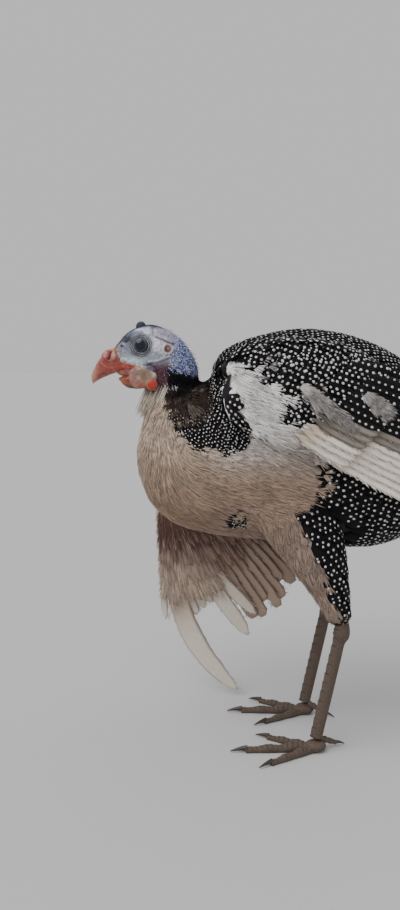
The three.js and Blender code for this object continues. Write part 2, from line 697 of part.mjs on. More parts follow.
function rightWingFrame() {
  const down = vec(Math.sin(DROP_BACK) * Math.cos(DROP_OUT), Math.sin(DROP_OUT),
    -Math.cos(DROP_BACK) * Math.cos(DROP_OUT));
  const back = vec(1, 0, 0).addScaledVector(down, -down.x).normalize();
  const dorsal = back.clone().cross(down).normalize();
  const heading = (turn) => down.clone().multiplyScalar(Math.cos(turn))
    .addScaledVector(back, Math.sin(turn));
  const at = (alongDown, alongBack, alongDorsal = 0) => point(WRIST)
    .addScaledVector(down, alongDown).addScaledVector(back, alongBack)
    .addScaledVector(dorsal, alongDorsal);
  return { dorsal, heading, at };
}

// Feathers of the lowered wing: turn leads them back from straight down.
function rightRow({ count, first, last, above, turn, length, half, tip }) {
  const { dorsal, heading } = rightWingFrame();
  return featherRow(count, (t) => {
    const direction = heading(mix(...turn, t));
    return {
      root: between(first, last, t).addScaledVector(dorsal, above),
      direction,
      normal: dorsal.clone().applyAxisAngle(direction, RIGHT_FOLD),
      length: mix(...length, t),
      lead: half,
      trail: half,
      tip,
    };
  });
}

function makeRightWing(torsoSpace) {
  const { dorsal, heading, at } = rightWingFrame();
  const armRings = (grow) => smoothRows(RIGHT_ARM_ROWS, 12).map(([ax, ay, az, bx, by, bz, half]) =>
    ovalRing(vec(ax, ay, az), vec(bx, by, bz), half, dorsal, 16, grow));
  const arm = toSolid(loftRings(armRings(0)));
  const armSpace = toSolid(loftRings(armRings(1.4 * GAP), 1.4 * GAP));
  const feathers = [RIGHT_SECONDARIES, RIGHT_COVERTS].flatMap((row) => rightRow(row));
  add('wing_right', join([arm, ...feathers]).subtract(torsoSpace), BODY_FEATHER);

  const handRows = RIGHT_HAND_ROWS.map(([down, back, wide, deep]) => {
    const centre = at(down, back);
    return [centre.x, centre.y, centre.z, deep, wide];
  });
  const primaries = RIGHT_PRIMARIES.map(({ turn, start, ...shape }) => vane({
    ...shape,
    root: at(...start),
    direction: heading(turn),
    normal: dorsal,
  }));
  const hand = join([limbLoft(handRows, 6, 12, dorsal), ...primaries]);
  add('wing_right_hand', hand.subtract(armSpace), PALE_FEATHER);
}

const flesh = partFlesh();
const torsoSpace = join([
  profileLoft(TORSO_ROWS, TORSO_STEPS, TORSO_SIDES, 1.9 * GAP),
  profileLoft(NECK_ROWS, NECK_STEPS, NECK_SIDES, 1.9 * GAP),
]);
makeHead(flesh.head);
add('neck', flesh.neck, NECK_FEATHER);
add('torso', flesh.torso, BODY_FEATHER);
add('tail', makeTail().subtract(torsoSpace), BODY_FEATHER);
makeLeftWing(torsoSpace);
makeRightWing(torsoSpace);
bothSides.forEach(([name, side]) => makeLeg(name, side, torsoSpace));

const bird = new THREE.Group();
parts.forEach(({ name, solid, material }) => {
  const mesh = new THREE.Mesh(toGeometry(solid), material);
  mesh.name = name;
  bird.add(mesh);
});
bird.position.set(-ORIGIN_X, 0, -FLOOR);

export default bird;
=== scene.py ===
# A young pied guinea fowl, about twelve weeks old, standing in its coat of feathers.
# Shapes are worked out in millimetres in the bird's own profile, whose x = 0 is at the
# nape and whose floor is at z = FLOOR. place() turns them into metres in the part's frame.

import math

import bpy
import numpy as np
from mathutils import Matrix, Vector
from mathutils.bvhtree import BVHTree


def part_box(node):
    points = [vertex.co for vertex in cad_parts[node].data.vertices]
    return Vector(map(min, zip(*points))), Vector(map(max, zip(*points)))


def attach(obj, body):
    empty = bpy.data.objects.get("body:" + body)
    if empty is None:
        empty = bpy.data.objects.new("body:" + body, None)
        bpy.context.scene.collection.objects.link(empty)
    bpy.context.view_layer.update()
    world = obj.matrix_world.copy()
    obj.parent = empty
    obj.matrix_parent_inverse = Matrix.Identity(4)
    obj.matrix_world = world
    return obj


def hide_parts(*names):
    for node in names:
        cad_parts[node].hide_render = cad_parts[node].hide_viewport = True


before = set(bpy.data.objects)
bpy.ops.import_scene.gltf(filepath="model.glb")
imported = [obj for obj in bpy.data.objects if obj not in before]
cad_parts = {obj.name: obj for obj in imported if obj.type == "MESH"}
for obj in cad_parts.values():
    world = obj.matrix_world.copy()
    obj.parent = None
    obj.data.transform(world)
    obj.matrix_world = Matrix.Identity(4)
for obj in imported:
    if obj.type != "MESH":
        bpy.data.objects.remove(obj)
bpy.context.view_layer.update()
BODY = "root"
SEED = 12
random = np.random.default_rng(SEED)

# Millimetres in a metre
MM = 1000
# Where the profile lies in the part's frame, from the box of the left eye
EYE = np.array([-36.5, 7.4, 243.0])
EYE_RADIUS = 6.2
eye_low, eye_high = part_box("eye_left")
ORIGIN_X = EYE[0] - MM / 2 * (eye_low.x + eye_high.x)
FLOOR = EYE[2] - MM / 2 * (eye_low.z + eye_high.z)
SHIFT = np.array([ORIGIN_X, 0, FLOOR])

# Camera's place in the profile, its lens and the size of its picture
CAMERA = (0, -512, 228)
FOCAL_PIXELS = 800
HORIZON_ROW = 370
IMAGE = (400, 910)
SENSOR = 36

# Rows: top x, top z, bottom x, bottom z, half width
TORSO_ROWS = [
    [-38.4, 181, -38.4, 171, 6.5], [-35.5, 193, -36.5, 158, 19], [-26, 203, -29.5, 141.5, 28.5],
    [-9, 211, -15, 129, 35], [7.5, 220.5, 5, 123.4, 39], [10.6, 234.5, 12, 122, 39.7],
    [22, 245, 25, 120.4, 41.5], [45, 252, 48, 118.5, 43.5], [67, 254.5, 70, 116.5, 44.5],
    [92, 251, 95, 114, 44], [117, 241.5, 115, 115.5, 41.5], [138, 227, 132, 123, 36.5],
    [153, 211, 147, 138, 29.5], [163, 198, 158, 155, 22], [170, 189, 166.5, 170.5, 14.5],
]
NECK_ROWS = [
    [-4, 224.5, -30, 217, 11.6], [-1, 221.8, -29, 214, 11.8], [1.2, 218.6, -32.2, 207.5, 13],
    [4.5, 219, -35, 199, 16.5], [9, 221.6, -37.3, 191, 21.5], [14, 221, -38.4, 182, 27],
    [18, 217, -38.6, 173, 31], [20, 205, -37, 161, 33],
]
HEAD_ROWS = [
    [-56.5, 239.5, -53, 231, 4.5], [-52.4, 244.3, -47.5, 226.5, 7.2],
    [-46.6, 250.8, -42.5, 221, 9.9], [-40, 254.6, -37.6, 217.6, 12],
    [-31.3, 256.6, -33.2, 215.9, 13.1], [-22, 254, -30.9, 215, 13.5],
    [-13.2, 248.2, -29.9, 214.6, 13.6], [-5.6, 238.4, -29.3, 214.4, 13.2],
    [-2, 229.5, -29, 214.2, 12.4], [-1, 221.8, -29, 214, 11.8], [-0.8, 220, -29.6, 212.5, 11.9],
]
UPPER_BILL_ROWS = [
    [-47, 240.5, -43, 230.5, 6], [-54, 241.6, -48, 228, 6.9], [-59.5, 240.3, -53.5, 226.2, 6.4],
    [-63, 236, -58.5, 224.5, 5.2], [-65.8, 231.8, -62.5, 222.8, 4],
    [-68, 227.5, -65.3, 221.3, 2.7], [-69.2, 223.8, -67, 220.3, 1.5],
    [-68.4, 219.6, -67.8, 219.4, 0.4],
]
LOWER_BILL_ROWS = [
    [-34, 224, -34.5, 216.4, 6.5], [-40, 227, -40.5, 216, 6.3], [-45, 226, -45.5, 216.6, 5.2],
    [-49, 224.4, -49, 218.6, 3.6], [-51.8, 223, -51.5, 221.6, 1.4],
]
TAIL_CORE_ROWS = [
    [160, 201, 158, 165, 19], [168, 191.5, 165.5, 168.5, 15.5], [176, 183.5, 172, 164.5, 13],
    [184, 175, 180, 160, 10], [190, 167, 187, 158.5, 6],
]
# Rows with the place across the body as a sixth value
LEFT_ARM_ROWS = [
    [13, 218, 11, 208, 3, -43], [22, 236, 22, 196, 6.5, -47], [46, 246, 44, 184, 7.5, -49.5],
    [78, 243, 72, 180, 7, -49.5], [104, 230, 96, 186, 5, -47], [118, 214, 112, 199, 2.5, -45],
]
# Rows: front x, y, z, rear x, y, z, half thickness
RIGHT_ARM_ROWS = [
    [16, 33, 228, 54, 36, 226, 4], [4, 37, 213, 66, 42, 205, 6],
    [-9, 41, 190, 56, 47.5, 179, 6], [-18, 44, 168, 38, 50, 156, 5.4],
    [-25, 47.5, 147, 17, 51, 139, 4.6], [-27.5, 50.5, 129.5, -4, 51.5, 124.5, 3.4],
]
# Rows of the feathers that lead from the back to the folded wing: x, y, z, half width, half depth
SADDLE_ROWS = [
    [14, -30, 226, 6, 6], [22, -33, 230, 12, 9], [36, -35.5, 234, 16, 11.5],
    [58, -35.5, 235.5, 17, 12], [80, -35, 233, 16.5, 11.5], [102, -34, 223, 14, 10],
    [122, -32, 209, 7, 7],
]
WRIST = np.array([-22.5, 51, 126.0])
DROP_BACK = 0.05
DROP_OUT = 0.05
# Rows: x, y, z, half width across, half width along
THIGH_ROWS = [
    [46, 21, 168, 9, 14], [57, 25.5, 144, 15, 23], [70, 30, 119, 14, 19.5],
    [80.5, 29, 94, 9.8, 12], [87, 28, 73, 6.4, 7.2],
]
LEFT, RIGHT = -1, 1
SIDES = {"left": LEFT, "right": RIGHT}
ACROSS = np.array([0, 1.0, 0])
UP = np.array([0, 0, 1.0])


def hex_colour(text):
    """Linear colour of a screen colour written as six hex digits."""
    screen = np.array([int(text[i:i + 2], 16) / 255 for i in (0, 2, 4)])
    return np.where(screen <= 0.04045, screen / 12.92, ((screen + 0.055) / 1.055) ** 2.4)


def unit(v):
    return v / np.maximum(np.linalg.norm(v, axis=-1, keepdims=True), 1e-9)


def ramp(low, high, value):
    """Smooth step from 0 at low to 1 at high, either way round."""
    t = np.clip((value - low) / (high - low), 0, 1)
    return t * t * (3 - 2 * t)


def mix(a, b, t):
    return a + (b - a) * t


def hump(distance, width):
    return np.exp(-(distance / width) ** 2)


NOISE_WEIGHTS = np.array([12.9898, 78.233, 37.719])
NOISE_GAIN = 43758.5453


def noise(p, size):
    """Smooth random value from 0 to 1 that changes over about size millimetres."""
    cell = np.floor(p / size)
    f = p / size - cell
    f = f * f * (3 - 2 * f)
    total = 0
    for corner in np.ndindex(2, 2, 2):
        value = (cell + corner) @ NOISE_WEIGHTS
        share = np.where(np.array(corner) == 1, f, 1 - f).prod(-1)
        total = total + share * np.modf(np.abs(np.sin(value)) * NOISE_GAIN)[0]
    return total


def painted(points, base, layers=()):
    """Colours of points: a base colour, and layers over it that each have a share there."""
    tone = np.tile(hex_colour(base), (len(points), 1))
    for colour, share in layers:
        tone = mix(tone, hex_colour(colour), np.clip(share, 0, 1)[:, None])
    return tone


def random_tones(count, colours, power):
    """Colours between two, with more of them near the first for a higher power."""
    first, second = (hex_colour(c) for c in colours)
    return mix(first, second, random.random((count, 1)) ** power)


def place(points):
    """Metres in the part's frame of points in the profile."""
    return (np.asarray(points, float) - SHIFT) / MM


def circle(count):
    """Angles of points spread evenly round a circle."""
    return np.arange(count) * 2 * np.pi / count


def step_lengths(lines):
    return np.linalg.norm(np.diff(lines, axis=1), axis=2)


def travelled(lines):
    """Distance along each line from its root to each station."""
    return np.concatenate([np.zeros((len(lines), 1)), np.cumsum(step_lengths(lines), 1)], 1)


# Meshes


def build_mesh(name, points, quads, tris, tone=None, uvs=None):
    """Object from points in the profile; tone and uvs give a colour and places for each."""
    mesh = bpy.data.meshes.new(name)
    loops = np.concatenate([quads.ravel(), tris.ravel()]).astype(np.int32)
    totals = np.repeat([4, 3], [len(quads), len(tris)]).astype(np.int32)
    starts = np.concatenate([[0], np.cumsum(totals)[:-1]]).astype(np.int32)
    mesh.vertices.add(len(points))
    mesh.vertices.foreach_set("co", place(points).astype(np.float32).ravel())
    mesh.loops.add(len(loops))
    mesh.loops.foreach_set("vertex_index", loops)
    mesh.polygons.add(len(totals))
    mesh.polygons.foreach_set("loop_start", starts)
    mesh.polygons.foreach_set("loop_total", totals)
    mesh.polygons.foreach_set("use_smooth", np.ones(len(totals), bool))
    for layer, values in (uvs or {}).items():
        made = mesh.uv_layers.new(name=layer)
        made.data.foreach_set("uv", values[loops].astype(np.float32).ravel())
    if tone is not None:
        colour = np.concatenate([tone, np.ones((len(tone), 1))], 1).astype(np.float32)
        attribute = mesh.color_attributes.new("Tone", "FLOAT_COLOR", "POINT")
        attribute.data.foreach_set("color", colour.ravel())
    mesh.update()
    mesh.validate()
    piece = bpy.data.objects.new(name, mesh)
    bpy.context.scene.collection.objects.link(piece)
    return piece


def finish_piece(piece, material, slot, *nodes):
    piece.data.materials.append(material)
    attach(piece, BODY)
    if nodes:
        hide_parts(*nodes)


def add_piece(name, mesh, tone, material, slot, *nodes):
    """Coloured piece from points, quads and triangles, in place of the nodes."""
    finish_piece(build_mesh(name, *mesh, tone), material, slot, *nodes)


def smooth_rows(rows, steps):
    """Rows on one smooth curve through all of the given ones."""
    rows = np.array(rows, float)
    padded = np.vstack([2 * rows[0] - rows[1], rows, 2 * rows[-1] - rows[-2]])
    at = np.linspace(0, len(rows) - 1, steps + 1)
    i = np.minimum(at.astype(int), len(rows) - 2)
    t = (at - i)[:, None]
    p0, p1, p2, p3 = (padded[i + k] for k in range(4))
    m1, m2 = 0.5 * (p2 - p0), 0.5 * (p3 - p1)
    return ((2 * t ** 3 - 3 * t ** 2 + 1) * p1 + (t ** 3 - 2 * t ** 2 + t) * m1
            + (3 * t ** 2 - 2 * t ** 3) * p2 + (t ** 3 - t ** 2) * m2)


def oval_rings(a, b, half, side, sides, grow=0.0, power=2.15):
    """Rings of points between a and b, and half wide towards side."""
    centre = ((a + b) / 2)[:, None]
    axis = (a - b) / 2
    length = np.linalg.norm(axis, axis=1, keepdims=True)
    grow = np.broadcast_to(grow, len(a))[:, None]
    axis = (axis * (length + grow) / length)[:, None]
    angle = circle(sides)
    high = np.sign(np.cos(angle)) * np.abs(np.cos(angle)) ** (2 / power)
    wide = np.sign(np.sin(angle)) * np.abs(np.sin(angle)) ** (2 / power)
    side = np.broadcast_to(side, a.shape)[:, None]
    return centre + axis * high[None, :, None] + side * (
        (half[:, None] + grow) * wide[None])[..., None]


def profile_rings(rows, steps, sides, grow=0.0):
    r = smooth_rows(rows, steps)
    zero = np.zeros(len(r))
    top = np.stack([r[:, 0], zero, r[:, 1]], 1)
    low = np.stack([r[:, 2], zero, r[:, 3]], 1)
    return oval_rings(top, low, r[:, 4], ACROSS, sides, grow)


def limb_rings(rows, steps, sides, across, grow=0.0):
    r = smooth_rows(rows, steps)
    centre = r[:, :3]
    along = unit(np.gradient(centre, axis=0))
    third = unit(np.cross(along, across))
    side = unit(np.cross(third, along))
    deep = r[:, 4:5]
    return oval_rings(centre + third * deep, centre - third * deep, r[:, 3], side, sides, grow, 2)


def left_arm_rings(steps, sides, grow=0.0):
    r = smooth_rows(LEFT_ARM_ROWS, steps)
    top = np.stack([r[:, 0], r[:, 5] + 3, r[:, 1]], 1)
    low = np.stack([r[:, 2], r[:, 5] - 1, r[:, 3]], 1)
    return oval_rings(top, low, r[:, 4], ACROSS, sides, grow)


def right_frame():
    """Down, back and upper side of the lowered wing."""
    down = np.array([math.sin(DROP_BACK) * math.cos(DROP_OUT), math.sin(DROP_OUT),
                     -math.cos(DROP_BACK) * math.cos(DROP_OUT)])
    back = unit(np.array([1.0, 0, 0]) - down * down[0])
    return down, back, unit(np.cross(back, down))


DOWN, BACK, DORSAL = right_frame()


def right_arm_rings(steps, sides, grow=0.0):
    r = smooth_rows(RIGHT_ARM_ROWS, steps)
    return oval_rings(r[:, :3], r[:, 3:6], r[:, 6], DORSAL, sides, grow)


def thigh_rows(side):
    return [[x, side * y, z, wide, deep] for x, y, z, wide, deep in THIGH_ROWS]


def ring_faces(count, sides):
    """Quads between rings and the triangles of two caps, whose hubs are the last points."""
    i, j = np.meshgrid(np.arange(count - 1), np.arange(sides), indexing="ij")
    k = (j + 1) % sides
    quads = np.stack([i * sides + j, i * sides + k, (i + 1) * sides + k, (i + 1) * sides + j], -1)
    around = np.arange(sides)
    after = (around + 1) % sides
    hub = count * sides
    base = (count - 1) * sides
    first = np.stack([np.full(sides, hub), after, around], 1)
    last = np.stack([np.full(sides, hub + 1), base + around, base + after], 1)
    return quads.reshape(-1, 4), np.concatenate([first, last])


def loft(rings):
    """Closed mesh of rings: points, quads and triangles, faces pointing out."""
    count, sides = rings.shape[:2]
    quads, tris = ring_faces(count, sides)
    points = np.concatenate([rings.reshape(-1, 3), rings[[0, -1]].mean(1)])
    a, b, c = points[tris[:, 0]], points[tris[:, 1]], points[tris[:, 2]]
    p = points[quads]
    volume = np.einsum("ij,ij->", a, np.cross(b, c))
    volume += np.einsum("ij,ij->", p[:, 0], np.cross(p[:, 1], p[:, 2]))
    volume += np.einsum("ij,ij->", p[:, 0], np.cross(p[:, 2], p[:, 3]))
    if volume < 0:
        quads, tris = quads[:, ::-1], tris[:, ::-1]
    return points, quads, tris


def merge(meshes):
    """One mesh of several: points, quads and triangles."""
    points, quads, tris, start = [], [], [], 0
    for p, q, t in meshes:
        points.append(p)
        quads.append(q + start)
        tris.append(t + start)
        start += len(p)
    return np.concatenate(points), np.concatenate(quads), np.concatenate(tris)


# Materials


def node(tree, kind, inputs=None, **settings):
    made = tree.nodes.new(kind)
    for key, value in settings.items():
        setattr(made, key, value)
    for key, value in (inputs or {}).items():
        if isinstance(value, bpy.types.NodeSocket):
            tree.links.new(value, made.inputs[key])
        else:
            made.inputs[key].default_value = value
    return made


def own_place(tree):
    """Place on the object itself, for patterns that stay with it."""
    return node(tree, "ShaderNodeTexCoord").outputs["Object"]


def new_material(name, roughness, **sockets):
    material = bpy.data.materials.new(name)
    material.use_nodes = True
    tree = material.node_tree
    bsdf = tree.nodes["Principled BSDF"]
    bsdf.inputs["Roughness"].default_value = roughness
    for socket, value in sockets.items():
        bsdf.inputs[socket.replace("_", " ")].default_value = value
    return material, tree, bsdf


def vary(tree, bsdf, pattern, contrast):
    """The piece's own colour, made darker and lighter by a pattern from 0 to 1."""
    tone = node(tree, "ShaderNodeAttribute", attribute_name="Tone")
    share = node(tree, "ShaderNodeMapRange", {"Value": pattern, "To Min": 1 - contrast,
                                              "To Max": 1 + contrast})
    scaled = node(tree, "ShaderNodeVectorMath", {0: tone.outputs["Color"]}, operation="SCALE")
    tree.links.new(share.outputs["Result"], scaled.inputs["Scale"])
    tree.links.new(scaled.outputs["Vector"], bsdf.inputs["Base Color"])


def emboss(tree, bsdf, height, strength, distance):
    raised = node(tree, "ShaderNodeBump", {"Height": height, "Strength": strength,
                                           "Distance": distance})
    tree.links.new(raised.outputs["Normal"], bsdf.inputs["Normal"])


def skin_material():
    material, tree, bsdf = new_material("bare_skin", 0.62, Subsurface_Weight=0.1,
                                        Subsurface_Scale=0.002, Specular_IOR_Level=0.22)
    where = own_place(tree)
    fine = node(tree, "ShaderNodeTexNoise", {"Vector": where, "Scale": 900, "Detail": 4})
    cells = node(tree, "ShaderNodeTexVoronoi", {"Vector": where, "Scale": 1100})
    vary(tree, bsdf, fine.outputs["Fac"], 0.28)
    both = node(tree, "ShaderNodeMath", {0: cells.outputs["Distance"], 1: fine.outputs["Fac"]},
                operation="ADD")
    emboss(tree, bsdf, both.outputs["Value"], 0.35, 0.0004)
    return material


def horn_material():
    material, tree, bsdf = new_material("bill_horn", 0.38, Coat_Weight=0.15)
    where = own_place(tree)
    grain = node(tree, "ShaderNodeMapping", {"Vector": where, "Scale": (500, 900, 2200),
                                             "Rotation": (0, 0.5, 0)})
    streaks = node(tree, "ShaderNodeTexNoise", {"Vector": grain.outputs["Vector"], "Scale": 1.0,
                                                "Detail": 3})
    vary(tree, bsdf, streaks.outputs["Fac"], 0.25)
    emboss(tree, bsdf, streaks.outputs["Fac"], 0.25, 0.0003)
    return material


def feather_material(name, contrast, roughness=0.75, sheen=0.15, specular=0.4):
    """Feather whose barbs slant away from the shaft, drawn on the map of its own vane."""
    material, tree, bsdf = new_material(name, roughness, Sheen_Weight=sheen,
                                        Specular_IOR_Level=specular)
    vane = node(tree, "ShaderNodeUVMap", uv_map="Vane")
    parts = node(tree, "ShaderNodeSeparateXYZ", {0: vane.outputs["UV"]})
    across = node(tree, "ShaderNodeMath", {0: parts.outputs["X"]}, operation="ABSOLUTE")
    barb = node(tree, "ShaderNodeMath", {0: across.outputs["Value"], 1: -0.9,
                                         2: parts.outputs["Y"]}, operation="MULTIPLY_ADD")
    spread = node(tree, "ShaderNodeCombineXYZ")
    tree.links.new(barb.outputs["Value"], spread.inputs["X"])
    tree.links.new(parts.outputs["X"], spread.inputs["Y"])
    grain = node(tree, "ShaderNodeMapping", {"Vector": spread.outputs["Vector"],
                                             "Scale": (11, 1.2, 1)})
    streaks = node(tree, "ShaderNodeTexNoise", {"Vector": grain.outputs["Vector"], "Scale": 1.0,
                                                "Detail": 3, "Roughness": 0.6})
    vary(tree, bsdf, streaks.outputs["Fac"], contrast)
    emboss(tree, bsdf, streaks.outputs["Fac"], 0.5, 0.0004)
    return material


def eye_material():
    material, tree, bsdf = new_material("eye", 0.12, Coat_Weight=0.25, Coat_Roughness=0.08,
                                        Specular_IOR_Level=0.3)
    where = own_place(tree)
    flecks = node(tree, "ShaderNodeTexNoise", {"Vector": where, "Scale": 2500})
    vary(tree, bsdf, flecks.outputs["Fac"], 0.4)
    return material


SKIN = skin_material()
HORN = horn_material()
EYE_GLOSS = eye_material()
DARK_COAT = feather_material("pearled_feather", 0.4, 0.7, 0.02, 0.12)
PALE_COAT = feather_material("pale_feather", 0.22, 0.85, 0.25)
FLIGHT = feather_material("flight_feather", 0.2, 0.65, 0.05, 0.2)
PEARL = feather_material("pearl_spot", 0.1, 0.8)


# Skin


def grid_normals(rings):
    along = np.gradient(rings, axis=0)
    around = np.roll(rings, -1, 1) - np.roll(rings, 1, 1)
    normal = unit(np.cross(around, along))
    outwards = rings - rings.mean(1, keepdims=True)
    return normal * np.sign((normal * outwards).sum(-1, keepdims=True).mean())


def arc_distance(x, z, points):
    """Distance in the profile from a line through points."""
    best = np.full(x.shape, 99.0)
    for (ax, az), (bx, bz) in zip(points[:-1], points[1:]):
        dx, dz = bx - ax, bz - az
        t = np.clip(((x - ax) * dx + (z - az) * dz) / (dx * dx + dz * dz), 0, 1)
        best = np.minimum(best, np.hypot(x - ax - t * dx, z - az - t * dz))
    return best


EAR = (-19.9, 240.9)
EAR_STRAND = [(-20.6, 238.2), (-22.2, 236), (-24.6, 234.4)]
EAR_FOLD = [(-31.6, 233.2), (-27, 233.6), (-23, 234.6), (-18.6, 236.4)]
EAR_CREASE = [(-27.2, 248.2), (-24.6, 247), (-21, 245.8), (-17.4, 243.6)]
BROW = [(-45.4, 249.4), (-43.2, 251.4), (-40.2, 252.9), (-36.2, 253.3), (-33.6, 252.2)]
UPPER_LID_FOLD = [(-41.6, 248.4), (-37.6, 250.6), (-33, 249.8), (-29.6, 246.4)]
GAPE_LINE = [(-35.4, 231.4), (-30.6, 231.2), (-27.2, 229.4), (-26, 225)]
LORE = [(-48.6, 235.4), (-43.4, 234), (-38.8, 232.9), (-35.6, 231.9)]
CROWN_STRIPE = [(-45.4, 252.1), (-40.9, 254.7), (-34.6, 256.1), (-27.9, 255.4)]
LORE_PIT = (-49.1, 242.8)
SECOND_PIT = (-45.6, 245.8)
GAPE_TIP_X = -34.4


def eye_distance(x, z):
    return np.hypot(x - EYE[0], (z - EYE[2]) * 1.05)


def ear_distance(x, z):
    return np.hypot(x - EAR[0], (z - EAR[1]) * 0.95)


def spot(x, z, centre, radius):
    """1 at a place of the profile, fading out over radius."""
    return hump(np.hypot(x - centre[0], z - centre[1]), radius)


def stroke(x, z, points, width):
    return hump(arc_distance(x, z, points), width)


def gape_band(x, z):
    """1 on the red band that runs back from the bill to the corner of the mouth."""
    t = np.clip((x + 52) / (GAPE_TIP_X + 52), 0, 1)
    top = 229.6 + 4.4 * (1 - t) ** 1.4
    low = 229.3 - 1.4 * (1 - t)
    ends = ramp(GAPE_TIP_X, GAPE_TIP_X - 1.5, x)
    return ramp(low - 0.5, low + 0.2, z) * ramp(top + 0.5, top - 0.3, z) * ends


def head_relief(p):
    """Height in millimetres of lids, folds and pits over the smooth head."""
    wander = noise(p, 3.1) - 0.5
    x, y, z = p[..., 0] + 0.7 * wander, np.abs(p[..., 1]), p[..., 2] + 0.5 * wander
    outer = ramp(4, 8, y)
    r = eye_distance(p[..., 0], p[..., 2])
    ear = ear_distance(x, z)
    relief = -3.8 * ramp(4.55, 4.05, r)
    relief += 1.0 * hump(r - 4.9, 0.42) - 0.4 * hump(r - 5.55, 0.25) + 0.5 * hump(r - 6.1, 0.35)
    relief -= 0.3 * hump(r - 6.65, 0.25)
    relief += 0.35 * hump(r - 7.3, 0.4) * ramp(-3, 3, (x - EYE[0]) + (z - EYE[2]))
    relief += 1.0 * hump(ear - 2.8, 0.5) - 1.3 * hump(ear, 1.7) + 0.7 * hump(ear - 0.3, 0.6)
    relief += 0.65 * stroke(x, z, BROW, 0.75) - 0.4 * stroke(x, z + 1.4, BROW, 0.5)
    relief += 0.35 * stroke(x, z, UPPER_LID_FOLD, 0.5) - 0.3 * stroke(x, z + 0.9, UPPER_LID_FOLD, 0.3)
    relief -= 0.9 * stroke(x, z, EAR_CREASE, 0.45)
    relief += 0.6 * stroke(x, z - 1.2, EAR_CREASE, 0.8)
    relief += 0.75 * stroke(x, z, EAR_FOLD, 0.55) - 0.6 * stroke(x, z + 1.2, EAR_FOLD, 0.5)
    relief += 0.6 * stroke(x, z, EAR_STRAND, 0.4)
    relief -= 0.8 * stroke(x, z, GAPE_LINE, 0.45)
    relief += 0.7 * spot(x, z, (-32.1, 252.4), 1.7) + 0.4 * spot(x, z, (-27.9, 251.8), 1.3)
    relief -= 1.2 * spot(x, z, LORE_PIT, 0.9) + 0.8 * spot(x, z, SECOND_PIT, 0.8)
    relief += 0.35 * (noise(p * [1, 1, 2.4], 1.6) - 0.5) * ramp(7.5, 10, r)
    relief += 0.5 * spot(x, z, (-48, 244.5), 0.8) + 0.7 * spot(x, z, (-52.2, 238), 1.6)
    relief += 0.45 * gape_band(x, z)
    relief += 0.5 * (noise(p, 1.3) - 0.5) * ramp(5.6, 8.5, r) + 0.25 * (noise(p, 0.6) - 0.5)
    return relief * outer


